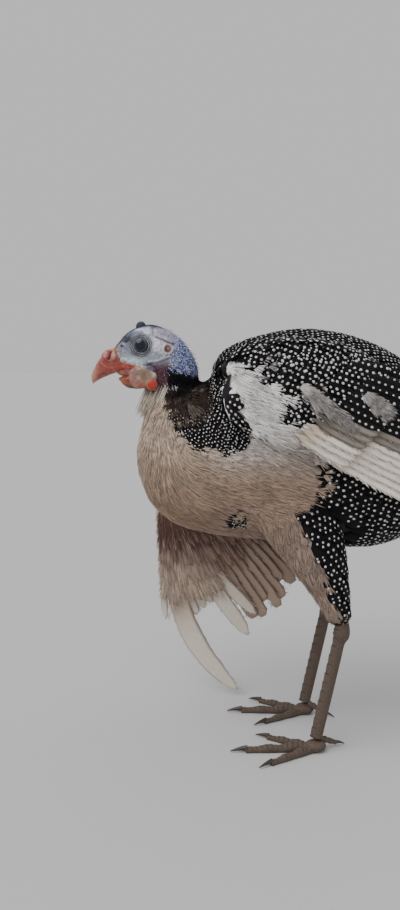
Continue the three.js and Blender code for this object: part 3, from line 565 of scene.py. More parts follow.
def head_tone(p):
    """Colours of the bare head."""
    wander = noise(p, 2.3) - 0.5
    x, y, z = p[..., 0] + 1.6 * wander, np.abs(p[..., 1]), p[..., 2] + 1.2 * (noise(p, 3.4) - 0.5)
    r = eye_distance(p[..., 0], p[..., 2])
    ear = ear_distance(p[..., 0], p[..., 2])
    blotch, fine = noise(p, 2.6), noise(p, 0.75)
    tone = painted(p, "9397a6", [
        ("83799a", 0.4 * ramp(0.5, 0.75, noise(p, 1.9))),
        ("6d7180", 0.8 * spot(x, z, (-43.5, 243), 2.8)),
        ("f2f0f8", 0.95 * spot(x, z, (-26.0, 243.8), 5.0)),
        ("8f8ea3", 0.6 * spot(x, z, (-26, 240.5), 2.5) * ramp(0.4, 0.6, blotch)),
        ("6e6d82", 0.7 * stroke(x, z + 2.2, BROW, 1.3)),
        ("a08ba0", 0.9 * spot(x, z, (-21.5, 249), 6) * ramp(0.35, 0.6, blotch)),
        ("c3b3c4", 0.8 * spot(x, z, (-23, 249), 6) * ramp(0.55, 0.75, noise(p, 1.5))),
        ("8b8f92", 0.8 * spot(x, z, (-27, 237.3), 3.4)),
        ("77707c", ramp(234, 231, z) * ramp(-35, -31, x)),
        ("8f8ba6", ramp(-20, -13, x)),
        ("a3afd9", 0.95 * ramp(-17, -9, x + (232 - z) * 0.22) * ramp(252, 243, z)),
        ("414f8c", 0.6 * ramp(-17, -12, x) * ramp(0.5, 0.66, fine) * ramp(250, 240, z)),
        ("c3cfea", 0.8 * ramp(-19, -12, x) * ramp(0.62, 0.75, noise(p, 0.9))),
        ("553139", 0.95 * ramp(234, 228, z) * ramp(-31, -27, x) * ramp(-9, -17, x)),
        ("15151b", ramp(227, 220.5, z - 0.1 * (x + 12)) * ramp(-20, -15, x)),
        ("c3d2d5", 0.95 * stroke(x, z, LORE, 2.1) * ramp(0.05, 0.4, blotch)),
        ("8e9a94", 0.5 * stroke(x, z - 3.5, LORE, 1.4)),
        ("474c58", 0.9 * ramp(8.6, 5.6, r + 1.6 * (blotch - 0.5))),
        ("a9aca9", 0.85 * hump(r - 5.0, 0.26) + 0.8 * hump(r - 6.15, 0.26)),
        ("a4a5a8", 0.75 * hump(r - 7.3, 0.35) * ramp(-3, 3, (x - EYE[0]) + (z - EYE[2]))),
        ("2b2e38", 0.8 * hump(r - 5.55, 0.25) + 0.7 * hump(r - 6.65, 0.22) + ramp(4.7, 4.3, r)),
        ("2f333f", 0.9 * stroke(x, z, CROWN_STRIPE, 1.7)),
        ("d9dce4", 0.95 * stroke(x, z, BROW, 0.8) * ramp(-43, -39, x)),
        ("2d313d", 0.88 * ramp(-39.5, -44, x + 0.3 * (z - 247)) * ramp(243.5, 247, z + 1.5 * wander)),
        ("767b92", 0.8 * stroke(x, z, BROW, 0.5) * ramp(-39, -42, x)),
        ("e1e9ee", 0.95 * spot(x, z, (-32.1, 252.4), 1.9)),
        ("cbc6d8", 0.9 * spot(x, z, (-27.8, 251.8), 1.6)),
        ("62647a", 0.8 * stroke(x, z, [(-30, 254), (-30.1, 250.5)], 0.5)),
        ("4c3d49", 0.85 * stroke(x, z, EAR_CREASE, 0.55)),
        ("c9c8c4", 0.8 * stroke(x, z, EAR_FOLD, 0.45) + 0.35 * stroke(x, z, EAR_STRAND, 0.4)),
        ("d6ccc8", 0.9 * hump(ear - 2.8, 0.45)),
        ("6f4a48", 0.95 * ramp(2.4, 1.7, ear)),
        ("bf948c", 0.9 * spot(x, z, (EAR[0] + 0.5, EAR[1] + 0.3), 0.75)),
        ("3f3740", 0.8 * stroke(x, z, GAPE_LINE, 0.45)),
        ("17171c", 0.97 * spot(x, z, LORE_PIT, 1.05) + 0.8 * spot(x, z, SECOND_PIT, 0.9)),
        ("dcdade", 0.85 * spot(x, z, (-48, 244.5), 0.7)),
        ("b97351", 0.9 * spot(x, z, (-53.6, 241), 2.0)),
        ("dcc4b8", 0.9 * spot(x, z, (-52, 237.4), 1.5)),
        ("a8756b", 0.95 * ramp(229.8, 228.9, p[..., 2]) * ramp(-35.5, -37.5, x)),
        ("a94c3c", 0.97 * gape_band(p[..., 0], p[..., 2])),
        # Painted highlight on the upper edge of the red band, broken up by blotches.
        ("c46a55", 0.6 * gape_band(p[..., 0], p[..., 2] - 1.0) * ramp(0.3, 0.7, blotch)),
        ("2b2d37", ramp(5.6, 3.4, y + 0.5 * wander) * ramp(-21, -26, x) * ramp(-56, -50, x)),
    ])
    return tone * ((0.72 + 0.56 * noise(p, 1.1)) * (0.86 + 0.28 * noise(p, 3.3)))[..., None]


def head_mesh():
    rings = profile_rings(HEAD_ROWS, 250, 270)
    normals = grid_normals(rings)
    fade = ramp(0, 12, np.arange(len(rings)))[:, None]
    rings = rings + normals * (head_relief(rings) * fade)[..., None]
    points, quads, tris = loft(rings)
    return (points, quads, tris), head_tone(points), rings, normals


COAT_DEPTH = 2.3
SKIN_VOXEL = 0.0022
RELAX_STEPS = 4


def body_lofts():
    """Inset lofts under the coat, by the name of the part."""
    neck_depth = -np.linspace(0.9, COAT_DEPTH, 31)
    lofts = {
        "torso": profile_rings(TORSO_ROWS, 70, 64, -COAT_DEPTH),
        "neck": profile_rings(NECK_ROWS, 30, 48, neck_depth),
        "tail": profile_rings(TAIL_CORE_ROWS, 16, 32, -1.6),
        "arm_left": left_arm_rings(40, 40, -1.7),
        "arm_right": right_arm_rings(50, 36, -1.4),
        "saddle": limb_rings(SADDLE_ROWS, 40, 36, ACROSS, -1.7),
    }
    for name, side in SIDES.items():
        lofts[f"thigh_{name}"] = limb_rings(thigh_rows(side), 30, 32, ACROSS, -1.7)
    return lofts


LOFTS = body_lofts()


def body_skin():
    """The inset parts as one surface, and a tree to look its places up in."""
    piece = build_mesh("body_skin", *merge([loft(rings) for rings in LOFTS.values()]))
    remesh = piece.modifiers.new("one_surface", "REMESH")
    remesh.mode = "VOXEL"
    remesh.voxel_size = SKIN_VOXEL
    remesh.use_smooth_shade = True
    relax = piece.modifiers.new("relax", "SMOOTH")
    relax.iterations = RELAX_STEPS
    relax.factor = 0.5
    bpy.context.view_layer.update()
    shaped = piece.evaluated_get(bpy.context.evaluated_depsgraph_get())
    mesh = bpy.data.meshes.new_from_object(shaped)
    bpy.data.objects.remove(piece)
    points = np.zeros(len(mesh.vertices) * 3)
    mesh.vertices.foreach_get("co", points)
    points = points.reshape(-1, 3) * MM + SHIFT
    polygons = [tuple(polygon.vertices) for polygon in mesh.polygons]
    bpy.data.meshes.remove(mesh)
    quads = np.array([q for q in polygons if len(q) == 4], np.int32).reshape(-1, 4)
    tris = np.array([t for t in polygons if len(t) == 3], np.int32).reshape(-1, 3)
    tree = BVHTree.FromPolygons([Vector(p) for p in points], polygons)
    return (points, quads, tris), tree


BODY_SKIN, SKIN_TREE = body_skin()


# Markings


# Outlines of the pied pattern in the profile
NECK_PATCH = [
    (-27, 222), (-4, 236), (10, 252), (18, 239), (18, 222), (24, 210), (30, 197), (28, 187), (21, 180),
    (10, 178), (-4, 182), (-13, 193), (-19, 205),
]
BREAST_FLECK = [(19, 131), (28, 133), (28, 142), (20, 140)]
BACK_AREA = [
    (-8, 262), (-8, 230), (6, 219), (34, 217), (62, 222), (74, 192), (76, 160), (72, 140),
    (86, 96), (210, 96), (210, 262),
]
SHOULDER = [
    (-10, 231), (20, 233), (36, 226), (44, 217), (50, 210), (50, 200), (54, 196), (66, 198), (78, 190),
    (80, 168), (-10, 168),
]
GREY_PATCHES = [
    [(55, 217), (60, 222), (76, 209), (88, 196), (82, 189), (72, 196), (62, 208)],
    [(91, 214), (98, 217), (108, 208), (107, 201), (98, 203)],
    [(32, 230), (36, 234), (42, 231), (40, 225), (34, 226)],
]
THIGH_TOP = (47, 168)
THIGH_SLOPE = 0.43


def inside(x, z, outline):
    """Millimetres from the edge of an outline of the profile, over 0 within it."""
    closed = outline + outline[:1]
    within = np.zeros(x.shape, bool)
    for (ax, az), (bx, bz) in zip(outline, closed[1:]):
        within ^= ((az > z) != (bz > z)) & (x < ax + (z - az) * (bx - ax) / (bz - az or 1))
    return np.where(within, 1, -1) * arc_distance(x, z, closed)


def marking(points, part):
    """0 where the coat is black with pearls, 1 where it is white and 2 where it is grey."""
    x, _, z = points.T
    wave = 6 * (noise(points, 7) - 0.5) + 4 * (noise(points, 3) - 0.5)
    dark = inside(x, z, NECK_PATCH) + wave > 0
    if part.startswith(("arm", "saddle")):
        dark |= inside(x, z, SHOULDER) + wave < 0
    elif part.startswith("thigh"):
        dark = x + wave > THIGH_TOP[0] + (THIGH_TOP[1] - z) * THIGH_SLOPE
    else:
        dark |= np.maximum(inside(x, z, BACK_AREA), inside(x, z, BREAST_FLECK)) + wave > 0
    kind = np.where(dark, 0, 1)
    if part == "arm_left":
        for outline in GREY_PATCHES:
            kind[inside(x, z, outline) + 0.6 * wave > 0] = 2
    if part == "arm_right":
        kind[z < 150] = 1
    return kind


def pale_tone(points):
    """Colour of the white parts: cream, with painted shade that makes it tan and darker low on the
    breast and belly, and whiter towards the shoulder.
    """
    x, _, z = points.T
    # Painted shade: the lower the place on the breast and belly, the tanner and darker the white.
    tone = painted(points, "b3967d", [
        ("c9b3a0", ramp(140, 200, z + 12 * noise(points, 14))),
        ("fbf8f6", ramp(-8, 26, x) * ramp(160, 200, z)),
        ("a68f80", ramp(158, 128, z) * ramp(-10, 20, x) * 0.7),
    ])
    return tone * (0.82 + 0.36 * noise(points, 4.5))[:, None]


def body_tone(points):
    """Colours of the skin under the coat, from the same markings."""
    x, y, z = points.T
    on_arm = (y < -38) & (x < 110) & (z > 165)
    kind = np.where(on_arm, marking(points, "arm_left"), marking(points, "torso"))
    return np.array([hex_colour(c) for c in ("1b1a1f", "c4bab1", "77777c")])[kind]


STEADY_LIES = {
    "arm_left": [0.92, 0, -0.4], "saddle": [0.92, -0.12, -0.34],
    "thigh_left": [0.3, 0, -1.0], "thigh_right": [0.3, 0, -1.0],
}


def lie_of(points, part):
    """Direction of the coat's lie at each place."""
    x, _, z = points.T
    if part in STEADY_LIES:
        return np.tile(STEADY_LIES[part], (len(points), 1))
    if part == "arm_right":
        return mix(np.array([0.95, 0, -0.3]), BACK * 0.8 + DOWN * 0.6, ramp(228, 130, z)[:, None])
    if part == "neck":
        return mix(np.array([0.35, 0, -1.0]), np.array([0.9, 0, -0.5]), ramp(-14, 4, x)[:, None])
    front = (ramp(2, -30, x) * ramp(135, 160, z))[:, None]
    lie = mix(np.array([1.0, 0, -0.3]), np.array([0.12, 0, -1.0]), front)
    lie = mix(lie, np.array([1.0, 0, -0.08]), (ramp(215, 235, z) * ramp(120, 60, x))[:, None])
    return mix(lie, np.array([0.8, 0, -0.62]), ramp(120, 160, x)[:, None])


# Feathers


def nearest(points):
    """Places and normals on the body's skin next to points."""
    places, normals = np.empty_like(points), np.empty_like(points)
    for i, p in enumerate(points):
        where, normal, _, _ = SKIN_TREE.find_nearest(Vector(p))
        places[i], normals[i] = where, normal
    return places, normals


# Shares of the spacing by which roots stray and below which they crowd each other
ROOT_STRAY = 0.1
CROWDED = 0.62
# Share of the spacing across by which each row is shifted
ROW_SHIFT = 0.27
# Greatest distance from a loft to the skin for a feather to grow there
SKIN_REACH = 1.6


def lattice(part, along, across):
    """Roots in staggered rows on one part of the body, with the normals there."""
    rings = LOFTS[part]
    step = np.linalg.norm(np.diff(rings, axis=0), axis=2).max(1)
    passed = np.concatenate([[0], np.cumsum(step)])
    found = []
    for row, distance in enumerate(np.arange(0.15 * along, passed[-1], along)):
        i = np.searchsorted(passed, distance) - 1
        ring = mix(rings[i], rings[i + 1], (distance - passed[i]) / step[i])
        ring = np.concatenate([ring, ring[:1]])
        round_it = travelled(ring[None])[0]
        count = max(int(round_it[-1] / across), 3)
        at = (np.arange(count) + ROW_SHIFT * row) % count * round_it[-1] / count
        found.append(np.stack([np.interp(at, round_it, ring[:, k]) for k in range(3)], 1))
    found = np.concatenate(found)
    found = found + (random.random(found.shape) - 0.5) * 2 * ROOT_STRAY * along
    reach = CROWDED * along
    cells, kept = {}, []
    for p in found:
        cell = tuple((p // reach).astype(int))
        near = [q for step in np.ndindex(3, 3, 3)
                for q in cells.get(tuple(c + s - 1 for c, s in zip(cell, step)), ())]
        if all(((p - q) ** 2).sum() > reach ** 2 for q in near):
            cells.setdefault(cell, []).append(p)
            kept.append(p)
    kept = np.array(kept)
    places, normals = nearest(kept)
    on_skin = np.linalg.norm(places - kept, axis=1) < SKIN_REACH
    return places[on_skin], normals[on_skin]


def walk(roots, normals, part, length, stations):
    """Centre line of each feather along the skin: places, normals and headings."""
    length = np.broadcast_to(length, len(roots))
    at, up = roots.copy(), normals.copy()
    heading = None
    lines, ups, ways = [], [], []
    for _ in range(stations):
        lie = lie_of(at, part)
        heading = lie if heading is None else 0.55 * heading + 0.45 * unit(lie)
        heading = unit(heading - up * (heading * up).sum(1, keepdims=True))
        lines.append(at)
        ups.append(up)
        ways.append(heading)
        at, up = nearest(at + heading * (length / (stations - 1))[:, None])
    return np.stack(lines, 1), np.stack(ups, 1), np.stack(ways, 1)


def sample(lines, t):
    """Values of lines at shares t of their length, for each line."""
    at = np.clip(t, 0, 1) * (lines.shape[1] - 1)
    i = np.minimum(at.astype(int), lines.shape[1] - 2)
    every = np.arange(len(lines))[:, None]
    return mix(lines[every, i], lines[every, i + 1], (at - i)[..., None])


def resample(lines, count):
    return sample(lines, np.linspace(0, 1, count)[None])


def strands(line, up, way, half, thickness):
    """Closed barbs with three sides that end in a point, as vanes() gives them."""
    count, stations = line.shape[:2]
    side = unit(np.cross(up, way))[:, :-1] * half[..., None]
    body = line[:, :-1]
    rings = np.stack([body - side, body + side, body + up[:, :-1] * thickness], 2)
    points = np.concatenate([rings.reshape(count, -1, 3), line[:, -1:]], 1)
    first = np.arange(count)[:, None, None] * points.shape[1]
    base = 3 * (stations - 2)
    ends = np.array([[0, 2, 1]] + [[base + a, base + (a + 1) % 3, base + 3] for a in range(3)])
    along = travelled(line)
    along = np.concatenate([np.repeat(along[:, :-1], 3, 1), along[:, -1:]], 1)
    across = np.stack([-half, half, 0 * half], 2).reshape(count, -1)
    across = np.concatenate([across, np.zeros((count, 1))], 1)
    return (points.reshape(-1, 3), (first + ring_faces(stations - 1, 3)[0]).reshape(-1, 4),
            (first + ends).reshape(-1, 3), across.reshape(-1), along.reshape(-1))


BARB_STEPS = np.array([0, 0.36, 0.72, 1.0])
BARB_WIDTHS = np.array([0.6, 1.0, 0.75])
BARB_THICKNESS = 0.16
BARB_FLARE = 2.0
BARB_RISE = 0.7


def loose_barbs(line, up, way, half, each, width, bare=0.0, start=0.3, reach=(0.65, 1.0)):
    """Barbs that fan out past the bare share of each feather and hide its edges."""
    length = step_lengths(line).sum(1)
    bare = np.broadcast_to(bare, len(line))
    line, up, way, length, bare = (np.repeat(a, each, 0) for a in (line, up, way, length, bare))
    count = len(line)
    begin = bare[:, None] + start * random.random((count, 1)) * (1 - bare[:, None])
    t = begin + random.uniform(*reach, (count, 1)) * (1 - 0.8 * bare[:, None]) * BARB_STEPS
    normal, heading = unit(sample(up, t)), unit(sample(way, t))
    at = sample(line, t) + heading * (np.maximum(t - 1, 0) * length[:, None])[..., None]
    spread = half * (2 * random.random((count, 1)) - 1)
    offset = (spread * (0.35 + 0.75 * BARB_STEPS)
              + BARB_FLARE * (random.random((count, 1)) - 0.5) * BARB_STEPS ** 2)
    lift = 0.1 + BARB_RISE * random.random((count, 1)) ** 1.5 * BARB_STEPS
    at = at + unit(np.cross(normal, heading)) * offset[..., None] + normal * lift[..., None]
    widths = width * BARB_WIDTHS * random.uniform(0.7, 1.3, (count, 1))
    return strands(at, normal, heading, widths, BARB_THICKNESS)


def barb_tone(base, contrast):
    """Colours of barbs from one colour for each, darker at the root as painted shade."""
    shade = base * (1 + contrast * (2 * random.random((len(base), 1)) - 1))
    rise = np.append(np.repeat([0.84, 0.96, 1.03], 3), 1.06)
    return (shade[:, None] * rise[None, :, None]).reshape(-1, 3)


def vanes(line, up, way, half, columns, thickness, cup=0.12, fray=None):
    """Closed thin vanes. line, up and way are (feathers, stations, 3); half is (feathers,
    stations) or (feathers, stations, 2) for both sides. Returns points, quads, tris, across, along."""
    count, stations = line.shape[:2]
    half = half if half.ndim == 3 else np.repeat(half[..., None], 2, 2)
    side = unit(np.cross(up, way))
    spread = np.linspace(-1, 1, columns)
    offset = np.where(spread < 0, half[..., :1], half[..., 1:]) * spread
    if fray is not None:
        offset = offset * (1 - fray[..., None] * np.abs(spread) ** 3)
    arch = thickness * (1 - spread ** 2)
    drop = -cup * np.abs(offset) * np.abs(spread)
    middle = line[:, :, None] + side[:, :, None] * offset[..., None]
    top = middle + up[:, :, None] * (drop + arch)[..., None]
    low = middle + up[:, :, None] * (drop - arch * 0.6)[..., None]
    ring = np.concatenate([top, low[:, :, -2:0:-1]], 2)
    across = np.concatenate([offset, offset[:, :, -2:0:-1]], 2)
    sides = 2 * columns - 2
    first = np.arange(count)[:, None] * stations * sides
    quads = [(first[:, None] + ring_faces(stations, sides)[0]).reshape(-1, 4)]
    tris = []
    for base, turned_over in ((0, False), ((stations - 1) * sides, True)):
        for c in range(columns - 1):
            a, b = base + c, base + c + 1
            d = base + (sides - c) % sides
            e = base + (sides - c - 1) % sides
            face = [a, e, b] if c == 0 else [a, d, b] if c == columns - 2 else [a, d, e, b]
            if turned_over:
                face = face[::-1]
            (quads if len(face) == 4 else tris).append(first + np.array(face))
    along = np.broadcast_to(travelled(line)[..., None], across.shape)
    return (ring.reshape(-1, 3), np.concatenate(quads), np.concatenate(tris),
            across.reshape(-1), along.reshape(-1))


TRUNK_AXIS_Z = 185.0
THIGH_AXIS = (70, 29)


def wrap(points, part):
    """Place from 0 to 1 of each point on an unrolled map of its part's skin."""
    x, y, z = points.T
    if part.startswith("arm"):
        z = np.maximum(z, 12)
        outer = y * (LEFT if part == "arm_left" else RIGHT) > 50
        u = 0.02 + 0.44 * (x + 40) / 250 + np.where(outer, 0.5, 0)
        return np.stack([u, 0.02 + 0.94 * (z - 10) / 245], 1)
    if part.startswith("thigh"):
        centre_y = THIGH_AXIS[1] * (RIGHT if part.endswith("right") else LEFT)
        angle = np.arctan2(y - centre_y, x - THIGH_AXIS[0]) / (2 * np.pi) + 0.5
        return np.stack([0.02 + 0.94 * angle, 0.02 + 0.94 * (z - 60) / 120], 1)
    angle = np.arctan2(y, z - TRUNK_AXIS_Z) / (2 * np.pi) + 0.5
    return np.stack([0.01 + 0.97 * angle, 0.02 + 0.94 * (x + 45) / 275], 1)


PATCH = 0.003
VANE_UNIT = 10


def mapped_piece(name, mesh, tone, patch, vane, material, slot, *nodes):
    """Feathers with a map of all that they show, and a map that runs along each vane."""
    piece = build_mesh(name, *mesh, tone, {"OFBake": patch, "Vane": vane})
    piece.data.uv_layers.active = piece.data.uv_layers["OFBake"]
    finish_piece(piece, material, slot, *nodes)


def feather_piece(name, made, roots_uv, tone, material, slot):
    """Piece from vanes or barbs, each with a small patch of the map at its root."""
    *mesh, across, along = made
    by_feather = (len(roots_uv), -1)
    reach = np.maximum(along.reshape(by_feather).max(1), 1e-6)
    wide = np.maximum(np.abs(across.reshape(by_feather)).max(1), 1e-6)
    u = across.reshape(by_feather) / wide[:, None]
    v = along.reshape(by_feather) / reach[:, None]
    patch = roots_uv[:, None] + PATCH * np.stack([u * 0.5, v], 2)
    vane = np.stack([across, along], 1) / VANE_UNIT
    mapped_piece(name, mesh, tone, patch.reshape(-1, 2), vane, material, slot)


def blade_width(t):
    """Share of the full width along a rounded body feather."""
    root, full, tip, taper = 0.35, 0.55, 0.3, 0.62
    grow = root + (1 - root) * ramp(0, full, t)
    past = np.clip((t - taper) / 0.38, 0, 1)
    return grow * np.sqrt(np.clip(1 - past ** 2.6 * (1 - tip ** 2), 0, 1))


def pearl_discs(centres, ups, ways, radius):
    """Small raised discs set in the vanes: closed, with eight sides."""
    count, sides = len(centres), 8
    side = unit(np.cross(ups, ways))
    angle = circle(sides)
    rim = (centres[:, None] + radius[:, None, None] * (
        side[:, None] * np.cos(angle)[None, :, None] * 0.92
        + ways[:, None] * np.sin(angle)[None, :, None] * 1.06))
    top = centres + ups * 0.13
    low = centres - ups * 0.2
    points = np.concatenate([rim, top[:, None], low[:, None]], 1)
    j = np.arange(sides)
    k = (j + 1) % sides
    faces = np.concatenate([np.stack([j, k, np.full(sides, sides)], 1),
                            np.stack([k, j, np.full(sides, sides + 1)], 1)])
    tris = (np.arange(count)[:, None, None] * (sides + 2) + faces[None]).reshape(-1, 3)
    return points.reshape(-1, 3), tris


# Places of a pearl's eight rim points, its top and its foot on its patch
RIM = np.array([[math.cos(i * math.pi / 4), math.sin(i * math.pi / 4)] for i in range(8)]
               + [[0, 0], [0.05, 0]])
PEARL_COLOURS = ("eceae5", "a5a4a6")
PEARL_STRAY = 0.3
pearl_store = []


def add_pearls(line, up, way, distances, offset, radius, lift, part):
    """Pairs of pearls at distances from the tips of feathers, offset to both sides."""
    length = step_lengths(line).sum(1)
    count = len(line)
    for distance in distances:
        t = (1 - distance / length)[:, None]
        at, normal, heading = (sample(a, t)[:, 0] for a in (line, up, way))
        side = unit(np.cross(normal, heading))
        for hand in (-1, 1):
            stray = PEARL_STRAY * radius * (random.random((count, 2)) - 0.5)
            centre = (at + side * (offset * hand + stray[:, :1]) + heading * stray[:, 1:]
                      + normal * lift)
            size = radius * random.uniform(0.75, 1.2, count)
            points, tris = pearl_discs(centre, unit(normal), unit(heading), size)
            patch = wrap(centre, part)[:, None] + PATCH / 2 * RIM
            tone = np.repeat(random_tones(count, PEARL_COLOURS, 2.5), len(points) // count, 0)
            pearl_store.append(((points, np.zeros((0, 4), int), tris), patch.reshape(-1, 2), tone))


def pearl_piece():
    meshes, patches, tones = zip(*pearl_store)
    patch = np.concatenate(patches)
    mapped_piece("pearls", merge(meshes), np.concatenate(tones), patch, patch, PEARL,
                 "body_feathers")


def slot_of(part):
    if part == "neck":
        return "neck_feathers"
    return "wing_feathers" if part.startswith(("arm", "saddle")) else "body_feathers"


def everywhere(p):
    return np.full(len(p), True)


def on_cape(p):
    return (p[:, 0] < 32) & (p[:, 2] < 240)


def on_back(p):
    return ~on_cape(p) & (p[:, 2] > 222)


def on_flank(p):
    return ~on_cape(p) & ~on_back(p)


def on_breast(p):
    return p[:, 0] < 8


def on_belly(p):
    return ~on_breast(p)


def on_hackle(p):
    return (p[:, 0] > -1) | (p[:, 2] < 206)


def on_nape(p):
    return (p[:, 0] < 5) & (p[:, 2] > 199)


# Name, part, where on it, spacing along and across the lie, length, half width, pearl radius
PEARLED = [
    ("cape", "torso", on_cape, 2.3, 4.2, 9, 2.9, 0.47),
    ("back", "torso", on_back, 3.1, 6.0, 12, 3.9, 0.7),
    ("flank", "torso", on_flank, 3.9, 7.6, 15, 4.8, 0.85),
    ("hackle", "neck", on_hackle, 2.1, 3.8, 8, 2.6, 0.42),
    ("wing_left", "arm_left", everywhere, 3.5, 7.0, 13, 4.5, 0.88),
    ("scapulars", "saddle", everywhere, 3.4, 6.6, 13, 4.3, 0.82),
    ("wing_right", "arm_right", everywhere, 4.2, 8.2, 15, 5.2, 0.95),
    ("thigh_left", "thigh_left", everywhere, 3.7, 7.2, 13, 4.5, 0.8),
    ("thigh_right", "thigh_right", everywhere, 3.7, 7.2, 13, 4.5, 0.8),
    ("rump", "tail", everywhere, 3.9, 7.4, 14, 4.7, 0.85),
]
COAT_RISE = 1.9
NECK_RISE = 1.3


def feather_lines(part, kind, where, along, across, length, stations):
    """Feathers of one marking: the place that each shows, and its line along the skin."""
    places, normals = lattice(part, along, across)
    shown = places + unit(lie_of(places, part)) * (length - 0.8 * along)
    chosen = (marking(shown, part) == kind) & where(places)
    places, normals, shown = places[chosen], normals[chosen], shown[chosen]
    length = length * (0.94 + 0.12 * random.random(len(places)))
    line, up, way = walk(places, normals, part, length, stations)
    rise = NECK_RISE if part == "neck" else COAT_RISE
    t = np.linspace(0, 1, stations)[None] ** 0.85
    rise = rise * (0.92 + 0.16 * random.random((len(places), 1)))
    return shown, line + up * (0.1 + rise * t)[..., None], up, way


BLACK_COLOURS = ("0b0b0f", "1a1719")
PEARLED_STATIONS = 8
PEARLED_THICKNESS = 0.16
PEARL_LIFT = 0.14
PEARL_PAIRS = {"arm_left": 3, "arm_right": 3, "saddle": 2}


def pearled_piece(name, line, up, way, half, spacing, across, radius, part, pairs=1):
    """Black rounded feathers with pairs of pearls from the tip up."""
    count, stations = line.shape[:2]
    widths = half * (0.95 + 0.1 * random.random((count, 1))) * blade_width(np.linspace(0, 1, stations))
    made = vanes(line, up, way, widths, 4, PEARLED_THICKNESS)
    tone = np.repeat(random_tones(count, BLACK_COLOURS, 2), len(made[0]) // count, 0)
    add_pearls(line, up, way, [(0.55 + pair) * spacing for pair in range(pairs)], across / 4,
               radius, PEARL_LIFT, part)
    feather_piece(f"coat_{name}", made, wrap(line[:, 0], part), tone, DARK_COAT, slot_of(part))


def pearled_coat(name, part, where, along, across, length, half, radius):
    _, line, up, way = feather_lines(part, 0, where, along, across, length, PEARLED_STATIONS)
    pearled_piece(name, line, up, way, half, along, across, radius, part, PEARL_PAIRS.get(part, 1))


DARK_LIMIT = 0.05


def coat_for(base):
    """Material of barbs by how dark their colours are."""
    return DARK_COAT if base.mean() < DARK_LIMIT else PALE_COAT


def barbed_piece(name, line, up, way, half, base, uv, slot, each, width, contrast=0.1, **shape):
    """Loose barbs over the feathers whose lines and colours are given."""
    made = loose_barbs(line, up, way, half, each, width, **shape)
    base = np.repeat(base, each, 0)
    feather_piece(f"barbs_{name}", made, np.repeat(uv, each, 0), barb_tone(base, contrast),
                  coat_for(base), slot)


# Name, part, where on it, spacing along and across the lie, length, half width
SOFT = [
    ("breast", "torso", on_breast, 4.2, 6.0, 17, 4.4),
    ("belly", "torso", on_belly, 4.2, 6.0, 18, 4.4),
    ("throat", "neck", everywhere, 3.2, 4.6, 13, 3.0),
    ("shoulder_left", "arm_left", everywhere, 4.2, 6.0, 18, 4.4),
    ("shoulder_top", "saddle", everywhere, 4.2, 6.0, 16, 4.4),
    ("shoulder_right", "arm_right", everywhere, 4.4, 6.4, 17, 4.6),
    ("shin_left", "thigh_left", everywhere, 4.2, 6.0, 15, 4.0),
    ("shin_right", "thigh_right", everywhere, 4.2, 6.0, 15, 4.0),
]
BARBS = 15
MOST_BARE = 0.8
BARB_HALF = 0.3
SOFT_STATIONS = 7
SOFT_THICKNESS = 0.12
# How far the soft vanes and the barbs over them lie below the coat's own height
LOW_BY = 0.7
BARBS_LOW_BY = 0.3


def soft_coat(name, part, where, along, across, length, half, kind=1):
    """White or grey feathers: low soft vanes, and loose barbs over them that hide their edges."""
    shown, line, up, way = feather_lines(part, kind, where, along, across, length, SOFT_STATIONS)
    if not len(shown):
        return
    count = len(shown)
    low, low_up, low_way = (a[:, ::2] for a in (line - up * LOW_BY, up, way))
    widths = half * blade_width(np.linspace(0, 1, low.shape[1])) * np.ones((count, 1))
    made = vanes(low, low_up, low_way, widths, 3, SOFT_THICKNESS)
    base = pale_tone(shown) * random.uniform(0.9, 1.1, (count, 1))
    if kind == 2:
        base = painted(shown, "8b8682", [("cbc5c0", ramp(0.3, 0.7, noise(shown, 4)))])
    uv = wrap(line[:, 0], part)
    feather_piece(f"soft_{name}", made, uv, np.repeat(base, len(made[0]) // count, 0), PALE_COAT,
                  slot_of(part))
    other = marking(line.reshape(-1, 3), part).reshape(count, -1) != kind
    bare = np.where(other, np.arange(1, line.shape[1] + 1), 0).max(1) / line.shape[1]
    barbed_piece(name, line - up * BARBS_LOW_BY, up, way, half, base, uv, slot_of(part), BARBS,
                 BARB_HALF, bare=np.minimum(bare, MOST_BARE))


def nape_coat():
    """Hair-like feathers of the hind neck, black towards the head and browner below."""
    shown, line, up, way = feather_lines("neck", 0, on_nape, 2.6, 3.4, 9, SOFT_STATIONS)
    x, _, z = shown.T
    edge = inside(x, z, NECK_PATCH)
    brown = ramp(218, 208, z + 8 * noise(shown, 5)) + ramp(7, 2, edge) * ramp(220, 214, z)
    brown = np.clip(brown, 0, 1)
    base = painted(shown, "121116", [("453832", brown)])
    grey = random.random((len(base), 1)) < 0.22 * brown[:, None]
    base = np.where(grey, hex_colour("75695f"), base)
    barbed_piece("nape", line, up, way, 2.4, base, wrap(line[:, 0], "neck"), "neck_feathers", 16,
                 0.24, 0.25)


# Flight feathers


def shaft_line(root, direction, normal, length, bend, stations):
    """Points, uppers and headings along one feather, which bends evenly."""
    along = unit(np.asarray(direction, float))
    upper = unit(np.asarray(normal, float) - along * np.dot(normal, along))
    side = unit(np.cross(along, upper))
    t = np.linspace(0, 1, stations)
    middle = (t[1:] + t[:-1]) / 2
    turn = bend * middle
    heading = np.cos(turn)[:, None] * along + np.sin(turn)[:, None] * side
    steps = heading * (length / (stations - 1))
    line = np.concatenate([[root], root + np.cumsum(steps, 0)])
    ways = unit(np.gradient(line, axis=0))
    ups = unit(upper - ways * (ways @ upper)[:, None])
    return line, ups, ways


